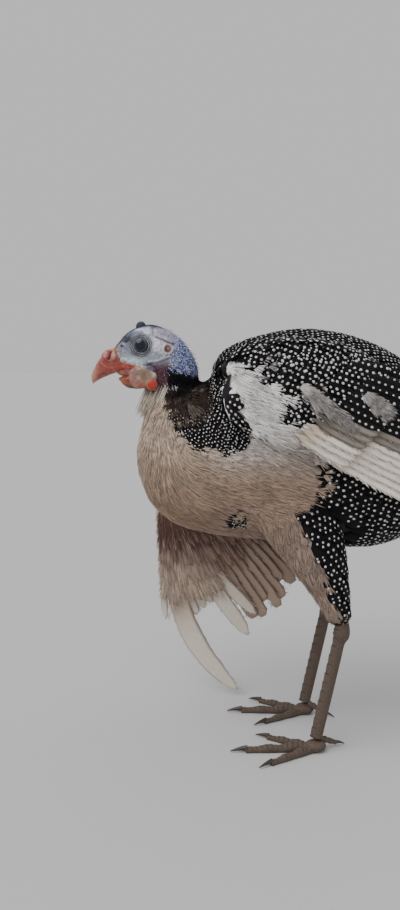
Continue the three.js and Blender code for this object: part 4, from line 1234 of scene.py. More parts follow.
WIDTHS = {
    "round": [(0, 0.12), (0.1, 0.35), (0.22, 0.85), (0.5, 1), (0.8, 0.95), (0.93, 0.7), (1, 0.15)],
    "pointed": [(0, 0.12), (0.1, 0.4), (0.22, 0.9), (0.5, 1), (0.78, 0.8), (0.93, 0.45), (1, 0.06)],
    "square": [(0, 0.12), (0.12, 0.35), (0.26, 0.85), (0.6, 1), (0.9, 1.02), (0.97, 0.9), (1, 0.5)],
}

flight_store = {}
patch_count = {}
CREAM = ("ddd2c4", "b39c82")
IVORY = ("efe5d8", "c4ae94")
PALE_PINK = ("ad9686", "856857")
PINKISH = ("a58b7b", "84695b")
DRAB = ("948b80", "5f574f")
INK = ("0e0e11", "121112")


def own_patch(group):
    """Corner and size of the next long feather's patch on the map of its piece."""
    rows = 10 if group == "quills" else 5
    i = patch_count.get(group, 0)
    patch_count[group] = i + 1
    corner = np.array([0.02 + 0.05 * (i % 19), 0.02 + 0.96 / rows * (i // 19)])
    return corner, np.array([0.045, 0.86 / rows])


# Flight feathers longer than this get more stations and columns
LONG = 60
FLIGHT_THICKNESS = 0.3
FLIGHT_CUP = 0.05
SHAFT_HALF = 0.7
SHAFT_THICKNESS = 0.4
SHAFT_LIFT = 0.22
FLIGHT_PEARL_LIFT = 0.26


def add_flight(group, root, direction, normal, length, lead, trail, bend=0.0, tip="round",
               colours=CREAM, fray=0.06, pearls=None):
    """One flight, tail or covert feather, kept with others of its group."""
    stations, columns = (28, 7) if length > LONG else (14, 5)
    line, up, way = (a[None] for a in shaft_line(np.asarray(root, float), direction, normal, length,
                                                 bend, stations))
    t = np.linspace(0, 1, stations)
    share = np.interp(t, *np.array(WIDTHS[tip]).T)
    torn = fray * random.random((1, stations))
    notch = random.random((1, stations)) < fray * 0.9
    torn = (torn + notch * 0.35 * random.random((1, stations))) * ramp(0.2, 0.5, t)
    # Half widths of the two sides, in the order of the vane's columns
    half = np.stack([trail * share, lead * share], 1)[None]
    made = vanes(line, up, way, half, columns, FLIGHT_THICKNESS, FLIGHT_CUP, torn)
    tip_colour, base_colour = (hex_colour(c) * (0.93 + 0.14 * random.random()) for c in colours)
    tone = mix(base_colour, tip_colour, ramp(0.0, 0.55, made[4] / length)[:, None])
    edge = np.abs(made[3]) / max(lead, trail)
    tone = tone * (1 - 0.12 * ramp(0.75, 1.0, edge))[:, None]
    corner, size = own_patch(group)
    store = flight_store.setdefault(group, [])
    store.append((made, tone, corner, size * [1, 0.88]))
    quill = SHAFT_HALF * np.interp(t, [0, 0.3, 1], [1.0, 0.7, 0.15])[None]
    shaft = vanes(line + up * SHAFT_LIFT, up, way, quill, 3, SHAFT_THICKNESS)
    quill_tone = mix(base_colour, tip_colour, 0.5) * 0.92
    flight_store.setdefault("quills", []).append(
        (shaft, np.tile(quill_tone, (len(shaft[0]), 1)), *own_patch("quills")))
    if pearls:
        spots = np.arange(0.6 * trail, length * 0.95, pearls * 1.1)
        part = "tail" if group == "tail" else f"arm_{group.split('_')[0]}"
        add_pearls(line, up, way, spots, 0.5 * trail, pearls * 0.21, FLIGHT_PEARL_LIFT, part)
    else:
        store.append((*fringe(line, up, way, half, tip_colour), corner + size * [0, 0.92],
                      size * [1, 0.08]))
    return line, up, way


def fringe(line, up, way, half, colour):
    """Barb ends that stand a little out of both edges of a feather, and their colours."""
    count = int(step_lengths(line).sum() * 0.9)
    at = random.uniform(0.16, 1.0, (1, count))
    hand = random.choice([-1, 1], count)
    both = sample(half, at)[0]
    wide = np.where(hand > 0, both[:, 1], both[:, 0])[:, None]
    root, normal, heading = (sample(a, at)[0] for a in (line, up, way))
    side = unit(np.cross(normal, heading)) * hand[:, None]
    slant = unit(heading + side * random.uniform(0.15, 0.6, (count, 1)))
    reach = random.uniform(2.0, 5.0, (count, 1, 1)) * np.array([0, 0.4, 0.75, 1])[None, :, None]
    start = root + side * (0.86 * wide) - heading * 1.5
    barbs = start[:, None] + slant[:, None] * reach + (normal * 0.1)[:, None]
    thin = 0.22 * BARB_WIDTHS * random.uniform(0.6, 1.2, (count, 1))
    repeat = np.ones((1, 4, 1))
    made = strands(barbs, normal[:, None] * repeat, slant[:, None] * repeat, thin, 0.12)
    return made, barb_tone(np.tile(colour, (count, 1)), 0.12)


def flight_piece(group, name, slot, *nodes):
    made, tones, corners, sizes = zip(*flight_store[group])
    patches = []
    for (*_, across, along), corner, size in zip(made, corners, sizes):
        u = 0.5 + across / (2 * np.abs(across).max())
        patches.append(corner + size * np.stack([u, along / along.max()], 1))
    vane = np.stack([np.concatenate([feather[k] for feather in made]) for k in (3, 4)], 1)
    mapped_piece(name, merge([feather[:3] for feather in made]), np.concatenate(tones),
                 np.concatenate(patches), vane / VANE_UNIT, FLIGHT, slot, *nodes)


def heading_right(turn):
    return DOWN * math.cos(turn) + BACK * math.sin(turn)


def at_right(down, back, dorsal=0.0):
    return WRIST + DOWN * down + BACK * back + DORSAL * dorsal


def row_of(count, first, last):
    """Shares and places of roots spread evenly from first to last."""
    for t in np.arange(count) / (count - 1):
        yield t, mix(np.array(first, float), np.array(last, float), t)


def turned(normal, axis, angle):
    axis = unit(np.asarray(axis, float))
    normal = np.asarray(normal, float)
    return (normal * math.cos(angle) + np.cross(axis, normal) * math.sin(angle)
            + axis * np.dot(axis, normal) * (1 - math.cos(angle)))


LEFT_OUTWARD = unit(np.array([0.07, -1, 0.08]))
OVERLAP_TURN = -0.16


def trailing(fall, inwards):
    """Direction of the near wing's feathers: to the tail, below the level and a little inwards."""
    return np.array([math.cos(fall), inwards, -math.sin(fall)])


def left_wing():
    for t, root in row_of(15, (60, -55.4, 187), (104, -52.4, 220)):
        direction = trailing(mix(0.48, 0.3, t), 0.07)
        colours = IVORY if t < 0.36 else DRAB if t < 0.56 else INK
        add_flight("left", root, direction, turned(LEFT_OUTWARD, direction, OVERLAP_TURN),
                   mix(84, 66, t) * random.uniform(0.95, 1.02), 4.6, 5.6,
                   colours=colours, pearls=3.9 if colours is INK else None, fray=0.08)
    for t, root in row_of(13, (54, -57.4, 192), (94, -55.0, 226)):
        direction = trailing(mix(0.52, 0.34, t), 0.04)
        colours = IVORY if t < 0.2 else DRAB if t < 0.42 else INK
        add_flight("left", root, direction, turned(LEFT_OUTWARD, direction, OVERLAP_TURN),
                   mix(37, 32, t), 3.9, 4.4, colours=colours,
                   pearls=3.7 if colours is INK else None, fray=0.12)
    for t, root in row_of(9, (57, -52, 188), (66, -47.4, 183.5)):
        add_flight("left_hand", root, trailing(mix(0.30, 0.46, t), 0.07), LEFT_OUTWARD,
                   mix(88, 114, t), 3.2, 4.6, tip="pointed", colours=IVORY, fray=0.08)


def joined(shafts, low, high):
    """Lines of many short feathers, lifted from low at the root to high at the tip."""
    line, up, way = (np.stack(a) for a in zip(*shafts))
    return line + up * np.linspace(low, high, line.shape[1])[None, :, None], up, way


def left_coverts():
    """Rows of pearled coverts that lie over the roots of the secondaries."""
    shafts = []
    for row in range(12):
        for t, root in row_of(15, (60, -57.4, 196), (98, -54.6, 229)):
            direction = unit(trailing(mix(0.46, 0.3, t), 0.1))
            if t < 0.3 and row < 4 or t < 0.16:
                continue
            start = root + direction * (4.6 * row - 12 + 2.3 * (row % 2))
            start = start - LEFT_OUTWARD * (0.3 * row + 1.2)
            start = start + random.uniform(-0.7, 0.7, 3) * [1, 0.1, 1]
            normal = turned(LEFT_OUTWARD, direction, -0.14)
            shafts.append(shaft_line(start, direction, normal, 15, 0.0, PEARLED_STATIONS))
    line, up, way = joined(shafts, -0.8, 1.5)
    pearled_piece("coverts_left", line, up, way, 4.4, 3.6, 8.0, 0.85, "arm_left", 4)


# Centre line in the profile and half width of the grey tufts on the near wing
TUFTS = [((57, 219), (82, 199), 3.4), ((92, 215), (103, 206), 4.0)]


def on_left_wing(x, z):
    """Places on the outer face of the near wing at places of the profile."""
    across = ((z - 196) * 0.924 + (x - 60) * 0.37) / 44.55
    along = ((x - 60) * 33 - (z - 196) * 38) / 44.55
    return np.stack([x, -57.4 + 2.8 * across + 0.1 * along - 1.0, z], -1)


def left_tufts():
    """Soft grey feathers without pearls that lie over the coverts."""
    shafts, bases = [], []
    for start, end, half in TUFTS:
        run = np.array(end) - np.array(start)
        side = unit(np.array([-run[1], run[0]]))
        for t in np.repeat(np.linspace(0, 1, 12), 3):
            flat = start + run * t + side * half * random.uniform(-0.8, 0.8) * math.sin(0.5 + 2.1 * t)
            direction = unit(np.array([run[0], 0.07 * run[0], run[1]]) + random.uniform(-4, 4, 3))
            shafts.append(shaft_line(on_left_wing(*flat), direction, LEFT_OUTWARD, 9, 0.0,
                                     SOFT_STATIONS))
            light = 0.2 + 0.8 * random.random() * (1 - 0.6 * t)
            bases.append(mix(hex_colour("77726f"), hex_colour("d4cec9"), light))
    line, up, way = joined(shafts, -0.5, 0.7)
    barbed_piece("tufts_left", line, up, way, 2.6, np.array(bases), wrap(line[:, 0], "arm_left"),
                 "wing_feathers", 30, 0.26, 0.12)


def barbs_over(name, feathers, colours, each, reach):
    """Loose barbs over feathers of the far wing, from the upper colour to the lower."""
    line, up, way = (np.concatenate([resample(a, 12) for a in group]) for group in zip(*feathers))
    fall = ramp(102, 74, line[:, -1, 2] + 10 * (noise(line[:, -1], 6) - 0.5))[:, None]
    base = mix(*(hex_colour(c) for c in colours), fall) * random.uniform(0.88, 1.12, (len(line), 1))
    barbed_piece(name, line, up, way, 4.2, base, wrap(line[:, 0], "arm_right"), "pale_feathers",
                 each, 0.24, 0.16, start=0.6, reach=reach)


# Turn, length, lead, trail, bend, place from the wrist and tip
RIGHT_PRIMARIES = [
    (-0.04, 107, 5.6, 10, 0.94, (42, 1, 0), "pointed"), (0.28, 34, 3.5, 5, 0.2, (45, 4, 1), "round"),
    (0.4, 36, 3.5, 5, 0.15, (40, 6, 2), "round"), (0.5, 40, 4, 5.5, 0.1, (34, 7, 3), "round"),
    (0.66, 78, 4, 5, 0.1, (18, 8, -1.2), "round"), (0.5, 90, 5, 6.5, 0.1, (16, 6, -1.8), "round"),
    (-0.05, 34, 2.2, 2.6, 0.1, (44, -6.0, -3), "pointed"),
]
# Rows of under coverts on the hand: distance below the wrist, length and lift
HAND_COVERTS = [(26, 40, 4.4), (14, 38, 5.4), (2, 36, 6.2), (-9, 32, 7.0)]


def right_wing():
    for t, root in row_of(16, (-8, 51, 126), (32, 50.5, 163)):
        direction = heading_right(mix(0.5, 0.96, t))
        add_flight("right", root + DORSAL * 1.5, direction, turned(DORSAL, direction, 0.15),
                   mix(104, 74, t) * random.uniform(0.86, 1.0), 4.6, 5.6,
                   tip="square", colours=PALE_PINK, fray=0.12)
    for t, root in row_of(12, (-10, 50.5, 131), (28, 50, 167)):
        direction = heading_right(mix(0.58, 0.96, t))
        add_flight("right", root + DORSAL * 4.2, direction, turned(DORSAL, direction, 0.15),
                   mix(42, 36, t), 4.6, 4.8, colours=INK, pearls=4.0)
    under = []
    for lift, length in [(1.9, 56), (3.0, 40), (4.0, 27)]:
        for t, root in row_of(13, (-17, 50.5, 124), (27, 50.5, 159)):
            direction = heading_right(mix(0.36, 0.9, t) + random.uniform(-0.05, 0.05))
            under.append(add_flight(
                "right", root - DORSAL * lift, direction, turned(-DORSAL, direction, -0.1),
                length * random.uniform(0.85, 1.08), 3.8, 4.0, colours=PINKISH, fray=0.2))
    barbs_over("under_wing", under, ("5c3627", "b79985"), 40, (0.3, 0.7))
    for turn, length, lead, trail, bend, start, tip in RIGHT_PRIMARIES:
        add_flight("right_hand", at_right(*start), heading_right(turn), DORSAL, length, lead,
                   trail, bend, tip, fray=0.03)
    for i in range(16):
        add_flight("right_hand", at_right(3.4 * i - 10, -6.0, -6.5 + 0.12 * i),
                   heading_right(-0.02), -DORSAL, 13, 1.1, 1.7, fray=0.02)
    hand = []
    for row, (down, length, lift) in enumerate(HAND_COVERTS):
        for t in np.arange(11) / 10:
            root = at_right(down + 3 * t, mix(-3.5, 15 - 2 * row, t), -lift * (1 - 0.2 * t))
            direction = heading_right(mix(-0.06, 0.62, t) + random.uniform(-0.04, 0.04))
            hand.append(add_flight(
                "right_hand", root, direction, turned(-DORSAL, direction, -0.1),
                length * random.uniform(0.8, 1.05), 3.4, 3.6,
                colours=PINKISH if row > 1 else PALE_PINK, fray=0.12))
    barbs_over("hand", hand, ("5c3426", "d6beaa"), 64, (0.3, 0.75))


TAIL_DROOP = 0.66
# Feathers on each side, x and z of the roots, longest, shortest, spread and half width
TAIL_FANS = [(7, 174, 174, 62, 50, 0.6, 6.6), (5, 169, 181.5, 40, 36, 0.5, 6.2)]


def tail_feathers():
    along = np.array([math.cos(TAIL_DROOP), 0, -math.sin(TAIL_DROOP)])
    for per_side, root_x, root_z, longest, shortest, spread, half in TAIL_FANS:
        for side in (LEFT, RIGHT):
            for i in range(per_side):
                t = i / (per_side - 1)
                roof = 0.02 if i == 0 else 0.22
                upper = turned((math.sin(TAIL_DROOP), 0, math.cos(TAIL_DROOP)), along, -side * roof)
                out = np.cross(along, upper) * -side
                turn = mix(0.04, spread, t)
                level = 0.8 if i == 0 and side == LEFT else i + (0.9 if i > 0 else 0)
                root = np.array([root_x, 0, root_z]) + out * mix(2.4, 7, t) - upper * level
                direction = along * math.cos(turn) + out * math.sin(turn)
                add_flight("tail", root, direction, upper, mix(longest, shortest, t * t), half,
                           half, colours=INK, pearls=4.4)


# Head pieces


def ellipsoid(centre, size, tilt, rings=48, sides=64, square=2.0):
    """Rings of an oval form, which tilt turns in the profile, and their local places."""
    polar = np.linspace(0.03, math.pi - 0.03, rings)[:, None]
    angle = circle(sides)
    local = np.stack([np.cos(polar) * np.ones(sides), np.sin(polar) * np.cos(angle),
                      np.sin(polar) * np.sin(angle)], -1)
    wide, high = np.abs(local[..., 0]), np.abs(local[..., 2])
    corner = np.hypot(wide, high) / (wide ** square + high ** square) ** (1 / square)
    local = local * np.stack([corner, np.ones_like(corner), corner], -1)
    scaled = local * np.array(size) / 2
    x = scaled[..., 0] * math.cos(tilt) + scaled[..., 2] * math.sin(tilt)
    z = -scaled[..., 0] * math.sin(tilt) + scaled[..., 2] * math.cos(tilt)
    return np.stack([x, scaled[..., 1], z], -1) + np.array(centre), local


def roughened(rings, height, size):
    """Rings with small swellings of a height and size."""
    return rings + grid_normals(rings) * (height * (noise(rings, size) - 0.5))[..., None]


def eyes():
    """Round eyeballs with a faint ring about a dark pupil."""
    polar = np.linspace(0.02, math.pi - 0.02, 40)[:, None, None]
    angle = circle(48)[None, :, None]
    for name, side in SIDES.items():
        centre = EYE * [1, side, 1]
        axis = unit(np.array([-0.1, side, 0.05]))
        first = unit(np.cross(axis, UP))
        second = np.cross(axis, first)
        ball = np.cos(polar) * axis + np.sin(polar) * (np.cos(angle) * first + np.sin(angle) * second)
        mesh = loft(centre + ball * EYE_RADIUS)
        r = np.linalg.norm(np.cross(mesh[0] - centre, axis), axis=1)
        tone = painted(mesh[0], "3a3e49", [
            ("5a5f6a", 0.8 * hump(r - 4.0, 0.35)),
            ("0b1024", ramp(3.5, 3.1, r)),
        ])
        add_piece(f"eyeball_{name}", mesh, tone, EYE_GLOSS, "eye", f"eye_{name}")


CERE_LINES = [(-61.6, 238.6), (-61.4, 236.2), (-59.6, 233.6), (-56.8, 232.6), (-53.8, 233.4)]
NOSTRIL_LINE = [(-55.6, 239.6), (-56.3, 237.4), (-57.2, 234.8)]
TOMIUM = [(-62, 233), (-58, 229.8), (-50, 229.5)]


def bill_relief(p):
    x, y, z = p[..., 0], np.abs(p[..., 1]), p[..., 2]
    outer = ramp(2.0, 4.5, y)
    relief = 2.0 * ramp(1.15, 0.45, np.hypot((x + 59.2) / 3.4, (z - 237.2) / 4.6))
    relief += 1.5 * ramp(1.1, 0.4, np.hypot((x + 54.2) / 2.4, (z - 237.2) / 4.1))
    relief -= 1.9 * stroke(x, z, NOSTRIL_LINE, 0.62) + 0.5 * stroke(x, z, CERE_LINES, 0.6)
    relief += 0.5 * (noise(p, 1.6) - 0.5) * ramp(-52, -55, x) * ramp(231, 234, z)
    relief -= 0.35 * stroke(x, z, TOMIUM, 0.6)
    return relief * outer + 0.22 * (noise(p * [0.5, 1, 1.4], 1.1) - 0.5)


def bill_tone(p):
    x, y, z = p[..., 0], np.abs(p[..., 1]), p[..., 2]
    outer = ramp(2.0, 4.0, y)
    blotch, fine = noise(p, 2.2), noise(p * [0.45, 1, 1.3], 0.9)
    cere = ramp(1.15, 0.8, np.hypot((x + 57.3) / 4.9, (z - 237.2) / 4.9))
    tone = painted(p, "984536", [
        ("ab6250", 0.7 * ramp(0.45, 0.75, fine)),
        ("7f372c", 0.5 * ramp(0.5, 0.8, blotch)),
        ("b98d77", 0.85 * ramp(-63, -68.5, x + 2 * (fine - 0.5))),
        ("bd5847", 0.7 * hump(z - 229.6, 1.3) * ramp(-61, -54, x)),
        ("c27b74", 0.95 * cere * ramp(0.05, 0.4, blotch)),
        ("cf9c92", 0.75 * spot(x, z, (-60.2, 238.4), 1.1) + 0.85 * spot(x, z, (-53.4, 237), 1.2)),
        ("95302c", 0.9 * stroke(x, z, CERE_LINES, 0.85) * outer),
        ("8a2c2a", 0.75 * spot(x, z, (-59.0, 235.4), 1.5) + 0.6 * spot(x, z, (-57.6, 239.6), 1.1)),
        ("4a1c1e", 0.95 * stroke(x, z, NOSTRIL_LINE, 0.6) * outer),
        ("b5714c", 0.85 * spot(x, z, (-53.6, 241.2), 2.2)),
    ])
    return tone * (0.85 + 0.3 * noise(p, 0.8))[..., None]


def bill():
    rings = profile_rings(UPPER_BILL_ROWS, 150, 120)
    mesh = loft(rings + grid_normals(rings) * bill_relief(rings)[..., None])
    add_piece("bill_top", mesh, bill_tone(mesh[0]), HORN, "bill", "bill_upper")

    mesh = loft(roughened(profile_rings(LOWER_BILL_ROWS, 70, 72, -0.05), 0.3, 1.3))
    x, _, z = mesh[0].T
    tone = painted(mesh[0], "8a4024", [
        ("a8623f", 0.6 * ramp(0.4, 0.8, noise(mesh[0], 1.4))),
        # Painted shade: the underside of the lower bill is darker.
        ("33201c", 0.85 * ramp(219.4, 216.8, z)),
        ("b8806a", 0.5 * ramp(-48, -52, x)),
    ])
    add_piece("bill_bottom", mesh, tone, HORN, "bill", "bill_lower")

    lining, _ = ellipsoid((-43.6, 0, 226.4), (19.0, 9.6, 7.2), 0.12, 40, 48)
    mesh = loft(roughened(lining, 0.5, 1.8))
    tone = painted(mesh[0], "6b352c", [("a86c5d", ramp(-38, -50, mesh[0][:, 0]))])
    tone = tone * (0.8 + 0.4 * noise(mesh[0], 1.2))[:, None]
    add_piece("mouth_lining", mesh, tone, SKIN, "bill")


WATTLE_RIM = [(-38, 229.6), (-33.6, 230.6), (-29.8, 229.2), (-28, 225)]


def wattles():
    for name, side in SIDES.items():
        lobe, local = ellipsoid((-35.6, 11.3 * side, 224), (17, 3.4, 14.2), -0.22, 70, 90, 2.7)
        middle = np.hypot(local[..., 0], local[..., 2])
        face = local[..., 1] * side > 0
        dish = (-0.75 * ramp(0.95, 0.3, middle) + 0.5 * (noise(lobe, 3.0) - 0.5)
                + 0.25 * (noise(lobe, 1.1) - 0.5))
        lobe[..., 1] += np.where(face, dish * side, 0)
        lobe[..., 1] += side * 0.9 * ramp(-31, -27, lobe[..., 0]) * ramp(222, 226, lobe[..., 2])
        fold, _ = ellipsoid((-30.2, 12.0 * side, 218.9), (8.4, 3.8, 7.4), 0.5, 40, 56)
        mesh = merge([loft(lobe), loft(roughened(fold, 0.6, 1.7))])
        points = mesh[0]
        x, _, z = points.T
        blotch = noise(points, 2.4)
        red = ramp(3.9, 1.6, np.hypot((x + 29.6) * 0.9, z - 219.4) + 1.4 * (blotch - 0.5))
        tone = painted(points, "94796b", [
            ("a3796f", 0.9 * ramp(-36.5, -41, x + 2 * (blotch - 0.5))),
            ("74664f", 0.7 * spot(x, z, (-35.6, 224.5), 2.8)),
            ("c9a795", 0.8 * spot(x, z, (-38.5, 222), 2.4) * ramp(0.4, 0.7, blotch)),
            ("d8c4b2", 0.95 * stroke(x, z, WATTLE_RIM, 1.5)),
            ("a2604f", 0.85 * ramp(222.4, 218.5, z + 0.25 * (x + 36)) * ramp(-41, -37, x)),
            ("b8352b", 0.95 * red),
            ("cf5a48", 0.6 * red * ramp(0.5, 0.8, noise(points, 1.1))),
            # Painted shade in magenta behind and below the red fold.
            ("9d3350", 0.8 * spot(x, z, (-26.2, 217.6), 1.5)),
        ])
        tone = tone * (0.85 + 0.3 * noise(points, 0.9))[:, None]
        add_piece(f"gape_wattle_{name}", mesh, tone, SKIN, "wattle", f"wattle_{name}")


def casque():
    mesh = loft(ellipsoid((-37.4, 0, 255.2), (6.4, 5.0, 7.0), 0.15, 30, 40)[0])
    # Painted highlight: the top of the knob is lighter.
    tone = painted(mesh[0], "3a3f4e", [("6a6f7c", 0.6 * ramp(257.4, 258.6, mesh[0][:, 2]))])
    add_piece("casque_knob", mesh, tone, SKIN, "casque", "casque")


# Small feathers of the head


def bristles(name, share, count, length, half, lift, colours, lie, spread=0.25, hanging=False):
    """Narrow feathers, scattered over the head where share is over 0."""
    x, _, z = np.moveaxis(head_rings, -1, 0)
    across = (np.roll(head_rings, -1, 1) - np.roll(head_rings, 1, 1)) / 2
    area = np.linalg.norm(np.cross(np.gradient(head_rings, axis=0), across), axis=-1)
    weight = (area * np.clip(share(x, z), 0, 1)).ravel()
    chosen = random.choice(weight.size, count, p=weight / weight.sum())
    roots = head_rings.reshape(-1, 3)[chosen]
    up = head_normals.reshape(-1, 3)[chosen]
    way = np.array(lie) + random.uniform(-spread, spread, (count, 3))
    if hanging:
        up = up - unit(way) * (unit(way) * up).sum(1, keepdims=True)
    up = unit(up)
    way = unit(way - up * (way * up).sum(1, keepdims=True))
    reach = length * random.uniform(0.65, 1.35, (count, 1))
    rise = lift * random.uniform(0.5, 1.5, (count, 1))
    line = (roots[:, None] + way[:, None] * (reach * BARB_STEPS)[..., None]
            + up[:, None] * (rise * BARB_STEPS - 0.15)[..., None])
    repeat = np.ones((1, 4, 1))
    made = strands(line, up[:, None] * repeat, way[:, None] * repeat,
                   half * BARB_WIDTHS * random.uniform(0.7, 1.3, (count, 1)), half * 0.7)
    picked = random.integers(0, len(colours), count)
    base = np.array([hex_colour(c) for c in colours])[picked]
    rows, sides = head_rings.shape[:2]
    uv = 0.01 + 0.97 * np.stack([chosen % sides / sides, chosen // sides / rows], 1)
    feather_piece(name, made, uv, barb_tone(base, 0.15), coat_for(base), "neck_feathers")


def blue_area(x, z):
    return ramp(-21, -11, x + 0.22 * (236 - z)) * ramp(223, 228, z) * ramp(253, 248, z)


def cheek_area(x, z):
    return ramp(-32, -24, x) * ramp(-10, -15, x) * ramp(234, 228, z) * ramp(213, 216, z)


def nape_area(x, z):
    return ramp(-22, -16, x) * ramp(229, 224, z + 0.3 * (x + 12))


def crown_area(x, z):
    return ramp(-18, -8, x) * ramp(222, 232, z) + 0.5 * ramp(250, 253, z) * ramp(-30, -20, x)


def lore_area(x, z):
    return ramp(-44, -48, x) * ramp(232, 234, z) + 0.6 * ramp(-24, -27, x) * ramp(219, 215.5, z)


def throat_area(x, z):
    return ramp(-19, -23, x) * ramp(219.5, 216.5, z) * ramp(-35, -32, x)


def streak_area(x, z):
    return ramp(-25, -21, x) * ramp(-12, -15, x) * ramp(222, 219, z)


# Name, where, how many, length, half width, lift, colours, lie, spread and hanging
BRISTLES = [
    ("head_speckles", blue_area, 5200, 1.3, 0.2, 0.3,
     ["4f62ae", "a3b6ea", "d9e4fc", "f6f9ff", "35448a", "b6addb", "93a4de", "2a3470"],
     (0.5, 0, -0.85)),
    ("cheek_bristles", cheek_area, 500, 1.6, 0.1, 0.35, ["2b2026", "5b4650", "8d7f88"],
     (0.5, 0, -0.85)),
    ("nape_hairs", nape_area, 3000, 5.0, 0.2, 0.5, ["0e0e13", "15151c", "1c1b24", "22202a"],
     (0.45, 0, -0.9)),
    ("stray_hairs", crown_area, 260, 3.2, 0.07, 1.7, ["15151b", "2a2a33"], (0.6, 0, -0.5), 0.5),
    ("face_bristles", lore_area, 150, 1.8, 0.06, 0.8, ["1b1b20", "4a4248"], (0.3, 0, -0.9), 0.6),
    ("throat_whiskers", throat_area, 480, 15, 0.26, 1.7, ["d9cdb9", "cdbfa8", "e6dfd2", "c2ad94"],
     (-0.4, 0, -1), 0.13, True),
    ("throat_shadows", throat_area, 70, 11, 0.16, 0.8, ["3a3034", "241f24"], (-0.36, 0, -1), 0.13,
     True),
    ("neck_streaks", streak_area, 110, 8, 0.22, 1.0, ["e2ddd6", "cfc8c0"], (0.35, 0, -1), 0.12),
]


# Legs


FOOT_X, FOOT_Y, FOOT_Z = 73, 28, 3.7
HOCK_X, HOCK_Z = 88, 78
ANKLE_Z = 8
HIND_Z = 8.2
SOLE_GAP = 0.02
# Name, turn from straight ahead, length, radius and length of the claw
TOES = [("inner", 0.52, 31, 2.7, 8.5), ("middle", -0.04, 42, 3.1, 9.5),
        ("outer", -0.56, 33, 2.8, 8.5), ("hind", 2.75, 12, 2.1, 6)]
TOE_BULGES = [1.06, 0.92, 1.04, 0.84, 0.96, 0.76, 0.8]


def leg_tone(points):
    return painted(points, "5d5047") * (0.85 + 0.3 * random.random((len(points), 1)))


def plated_piece(name, rows, steps, sides, across, plates, depth, node_name):
    """Skin of a shank, with overlapping plates on its front, or of a toe, with them on top."""
    rings = limb_rings(rows, steps, sides, across)
    normals = grid_normals(rings)
    t = np.linspace(0, 1, steps + 1)[:, None]
    saw = 1 - (t * plates) % 1
    heading = unit(rings[-1].mean(0) - rings[0].mean(0))
    front = np.array([-1.0, 0, 0]) if abs(heading[2]) > 0.7 else UP
    face = ramp(0.15, 0.55, normals @ front)
    relief = depth * (saw - 0.5) * face
    shadow = 1 - 0.5 * hump(saw - 0.02, 0.12) * face
    points, quads, tris = loft(rings + normals * relief[..., None])
    points[:, 2] = np.maximum(points[:, 2], FLOOR + SOLE_GAP)
    tone = leg_tone(points)
    tone[:-2] *= shadow.reshape(-1, 1)
    add_piece(name, (points, quads, tris), tone, SKIN, "leg_skin", node_name)


def toe(leg, side, kind, turn, length, radius, claw):
    """Skin and claw of one toe."""
    heading = np.array([-math.cos(turn), -side * math.sin(turn), 0])
    across = np.cross(UP, heading)
    hind = kind == "hind"
    start = np.array([FOOT_X, side * FOOT_Y, FLOOR + (HIND_Z if hind else 0)])
    start = start + heading * (3 if hind else 2)
    drop = length * 0.42 if hind else 0
    rows = []
    for i, swell in enumerate(TOE_BULGES):
        t = i / 6
        size = radius * swell * (1 - 0.12 * t)
        p = start + heading * length * t
        rows.append([p[0], p[1], p[2] - drop * t + (0 if hind else size - 0.45), size, size])
    plated_piece(f"toe_skin_{leg}_{kind}", rows, 90, 28, across, length / 3.2, 0.32,
                 f"toe_{leg}_{kind}")
    tip = start + heading * (length - 0.8)
    tip[2] = FLOOR + (HIND_Z - drop - 0.2 if hind else radius * 0.75)
    rows = []
    for t in (0, 0.3, 0.6, 0.85, 1):
        p = tip + heading * (claw + 1.2) * t
        size = radius * 0.62 * (1 - 0.86 * t) + 0.1
        high = max(tip[2] + 0.5 - (tip[2] - FLOOR - 0.6) * t * t, FLOOR + size + 0.25)
        rows.append([p[0], p[1], high, size * 0.8, size])
    nail = loft(limb_rings(rows, 24, 20, across))
    add_piece(f"nail_{leg}_{kind}", nail, painted(nail[0], "3b302a"), HORN, "claw",
              f"claw_{leg}_{kind}")


def legs():
    """Shanks, soles and toes of both legs."""
    for name, side in SIDES.items():
        y = side * FOOT_Y
        rows = [[87.4, y, FLOOR + (HOCK_Z + 9), 3.4, 3.8], [88.4, y, FLOOR + (HOCK_Z + 3.5), 4.4, 4.6],
                [HOCK_X, y, FLOOR + (HOCK_Z - 2), 4.7, 5.2]]
        for t in np.linspace(0.1, 0.98, 8):
            rows.append([mix(HOCK_X, FOOT_X, t), y, FLOOR + mix(HOCK_Z, ANKLE_Z, t), 3.3, 3.9])
        plated_piece(f"tarsus_{name}", rows, 160, 40, ACROSS, 15, 0.45, f"shank_{name}")
        ball, _ = ellipsoid((FOOT_X, y, FLOOR + FOOT_Z), (13.5, 10.5, 8.0), 0, 30, 36)
        ball[..., 2] = np.maximum(ball[..., 2], FLOOR + SOLE_GAP)
        sole = loft(ball)
        add_piece(f"sole_{name}", sole, leg_tone(sole[0]), SKIN, "leg_skin", f"foot_{name}")
        for row in TOES:
            toe(name, side, *row)


# Stage


def look_from(pitch):
    """Camera that looks at the bird's left side, tipped down by the pitch."""
    camera = bpy.data.objects.new("camera", bpy.data.cameras.new("camera"))
    camera.location = place(CAMERA)
    camera.rotation_euler = (math.pi / 2 - pitch, 0, 0)
    camera.data.sensor_width = SENSOR
    camera.data.lens = FOCAL_PIXELS / IMAGE[1] * SENSOR
    camera.data.clip_start = 0.01
    bpy.context.scene.collection.objects.link(camera)
    bpy.context.scene.camera = camera


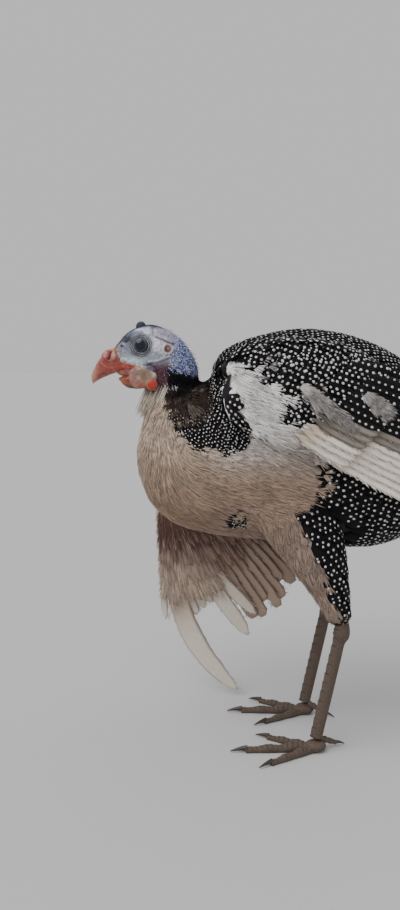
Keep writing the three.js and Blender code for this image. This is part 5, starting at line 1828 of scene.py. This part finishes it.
def stage():
    """Pale floor, even sky and one soft lamp."""
    material, tree, bsdf = new_material("studio_floor", 0.85)
    where = own_place(tree)
    cloud = node(tree, "ShaderNodeTexNoise", {"Vector": where, "Scale": 3})
    shade = node(tree, "ShaderNodeMix", {"Factor": cloud.outputs["Fac"], "A": (0.565, 0.565, 0.57, 1),
                                         "B": (0.595, 0.595, 0.60, 1)}, data_type="RGBA")
    tree.links.new(shade.outputs["Result"], bsdf.inputs["Base Color"])
    mesh = bpy.data.meshes.new("floor")
    reach = 60.0
    mesh.from_pydata([(-reach, -reach, 0), (reach, -reach, 0), (reach, reach, 0), (-reach, reach, 0)],
                     [], [(0, 1, 2, 3)])
    floor = bpy.data.objects.new("floor", mesh)
    mesh.materials.append(material)
    bpy.context.scene.collection.objects.link(floor)
    world = bpy.data.worlds.new("studio")
    world.use_nodes = True
    world.node_tree.nodes["Background"].inputs["Color"].default_value = (0.8, 0.8, 0.81, 1)
    world.node_tree.nodes["Background"].inputs["Strength"].default_value = 0.8
    bpy.context.scene.world = world
    lamp = bpy.data.lights.new("sky_light", "SUN")
    lamp.energy = 1.9
    lamp.angle = 0.9
    lit = bpy.data.objects.new("sky_light", lamp)
    lit.rotation_euler = Vector((0.8, 0.75, -1.5)).to_track_quat("-Z", "Y").to_euler()
    bpy.context.scene.collection.objects.link(lit)


look_from(math.atan((IMAGE[1] / 2 - HORIZON_ROW) / FOCAL_PIXELS))

head, head_colour, head_rings, head_normals = head_mesh()
add_piece("skin", merge([head, BODY_SKIN]),
          np.concatenate([head_colour, body_tone(BODY_SKIN[0])]),
          SKIN, "skin", "head", "neck", "torso", "thigh_left", "thigh_right")

eyes()
bill()
wattles()
casque()
for coat in PEARLED:
    pearled_coat(*coat)
for coat in SOFT:
    soft_coat(*coat)
soft_coat("patches_left", "arm_left", everywhere, 4.2, 6.0, 14, 4.0, 2)
nape_coat()
for bristle in BRISTLES:
    bristles(*bristle)
left_wing()
left_coverts()
left_tufts()
right_wing()
tail_feathers()
flight_piece("left", "flight_left", "wing_feathers", "wing_left")
flight_piece("left_hand", "primaries_left", "pale_feathers", "wing_left_hand")
flight_piece("right", "flight_right", "wing_feathers", "wing_right")
flight_piece("right_hand", "primaries_right", "pale_feathers", "wing_right_hand")
flight_piece("tail", "tail_fan", "body_feathers", "tail")
flight_piece("quills", "quills", "pale_feathers")
pearl_piece()
legs()
stage()
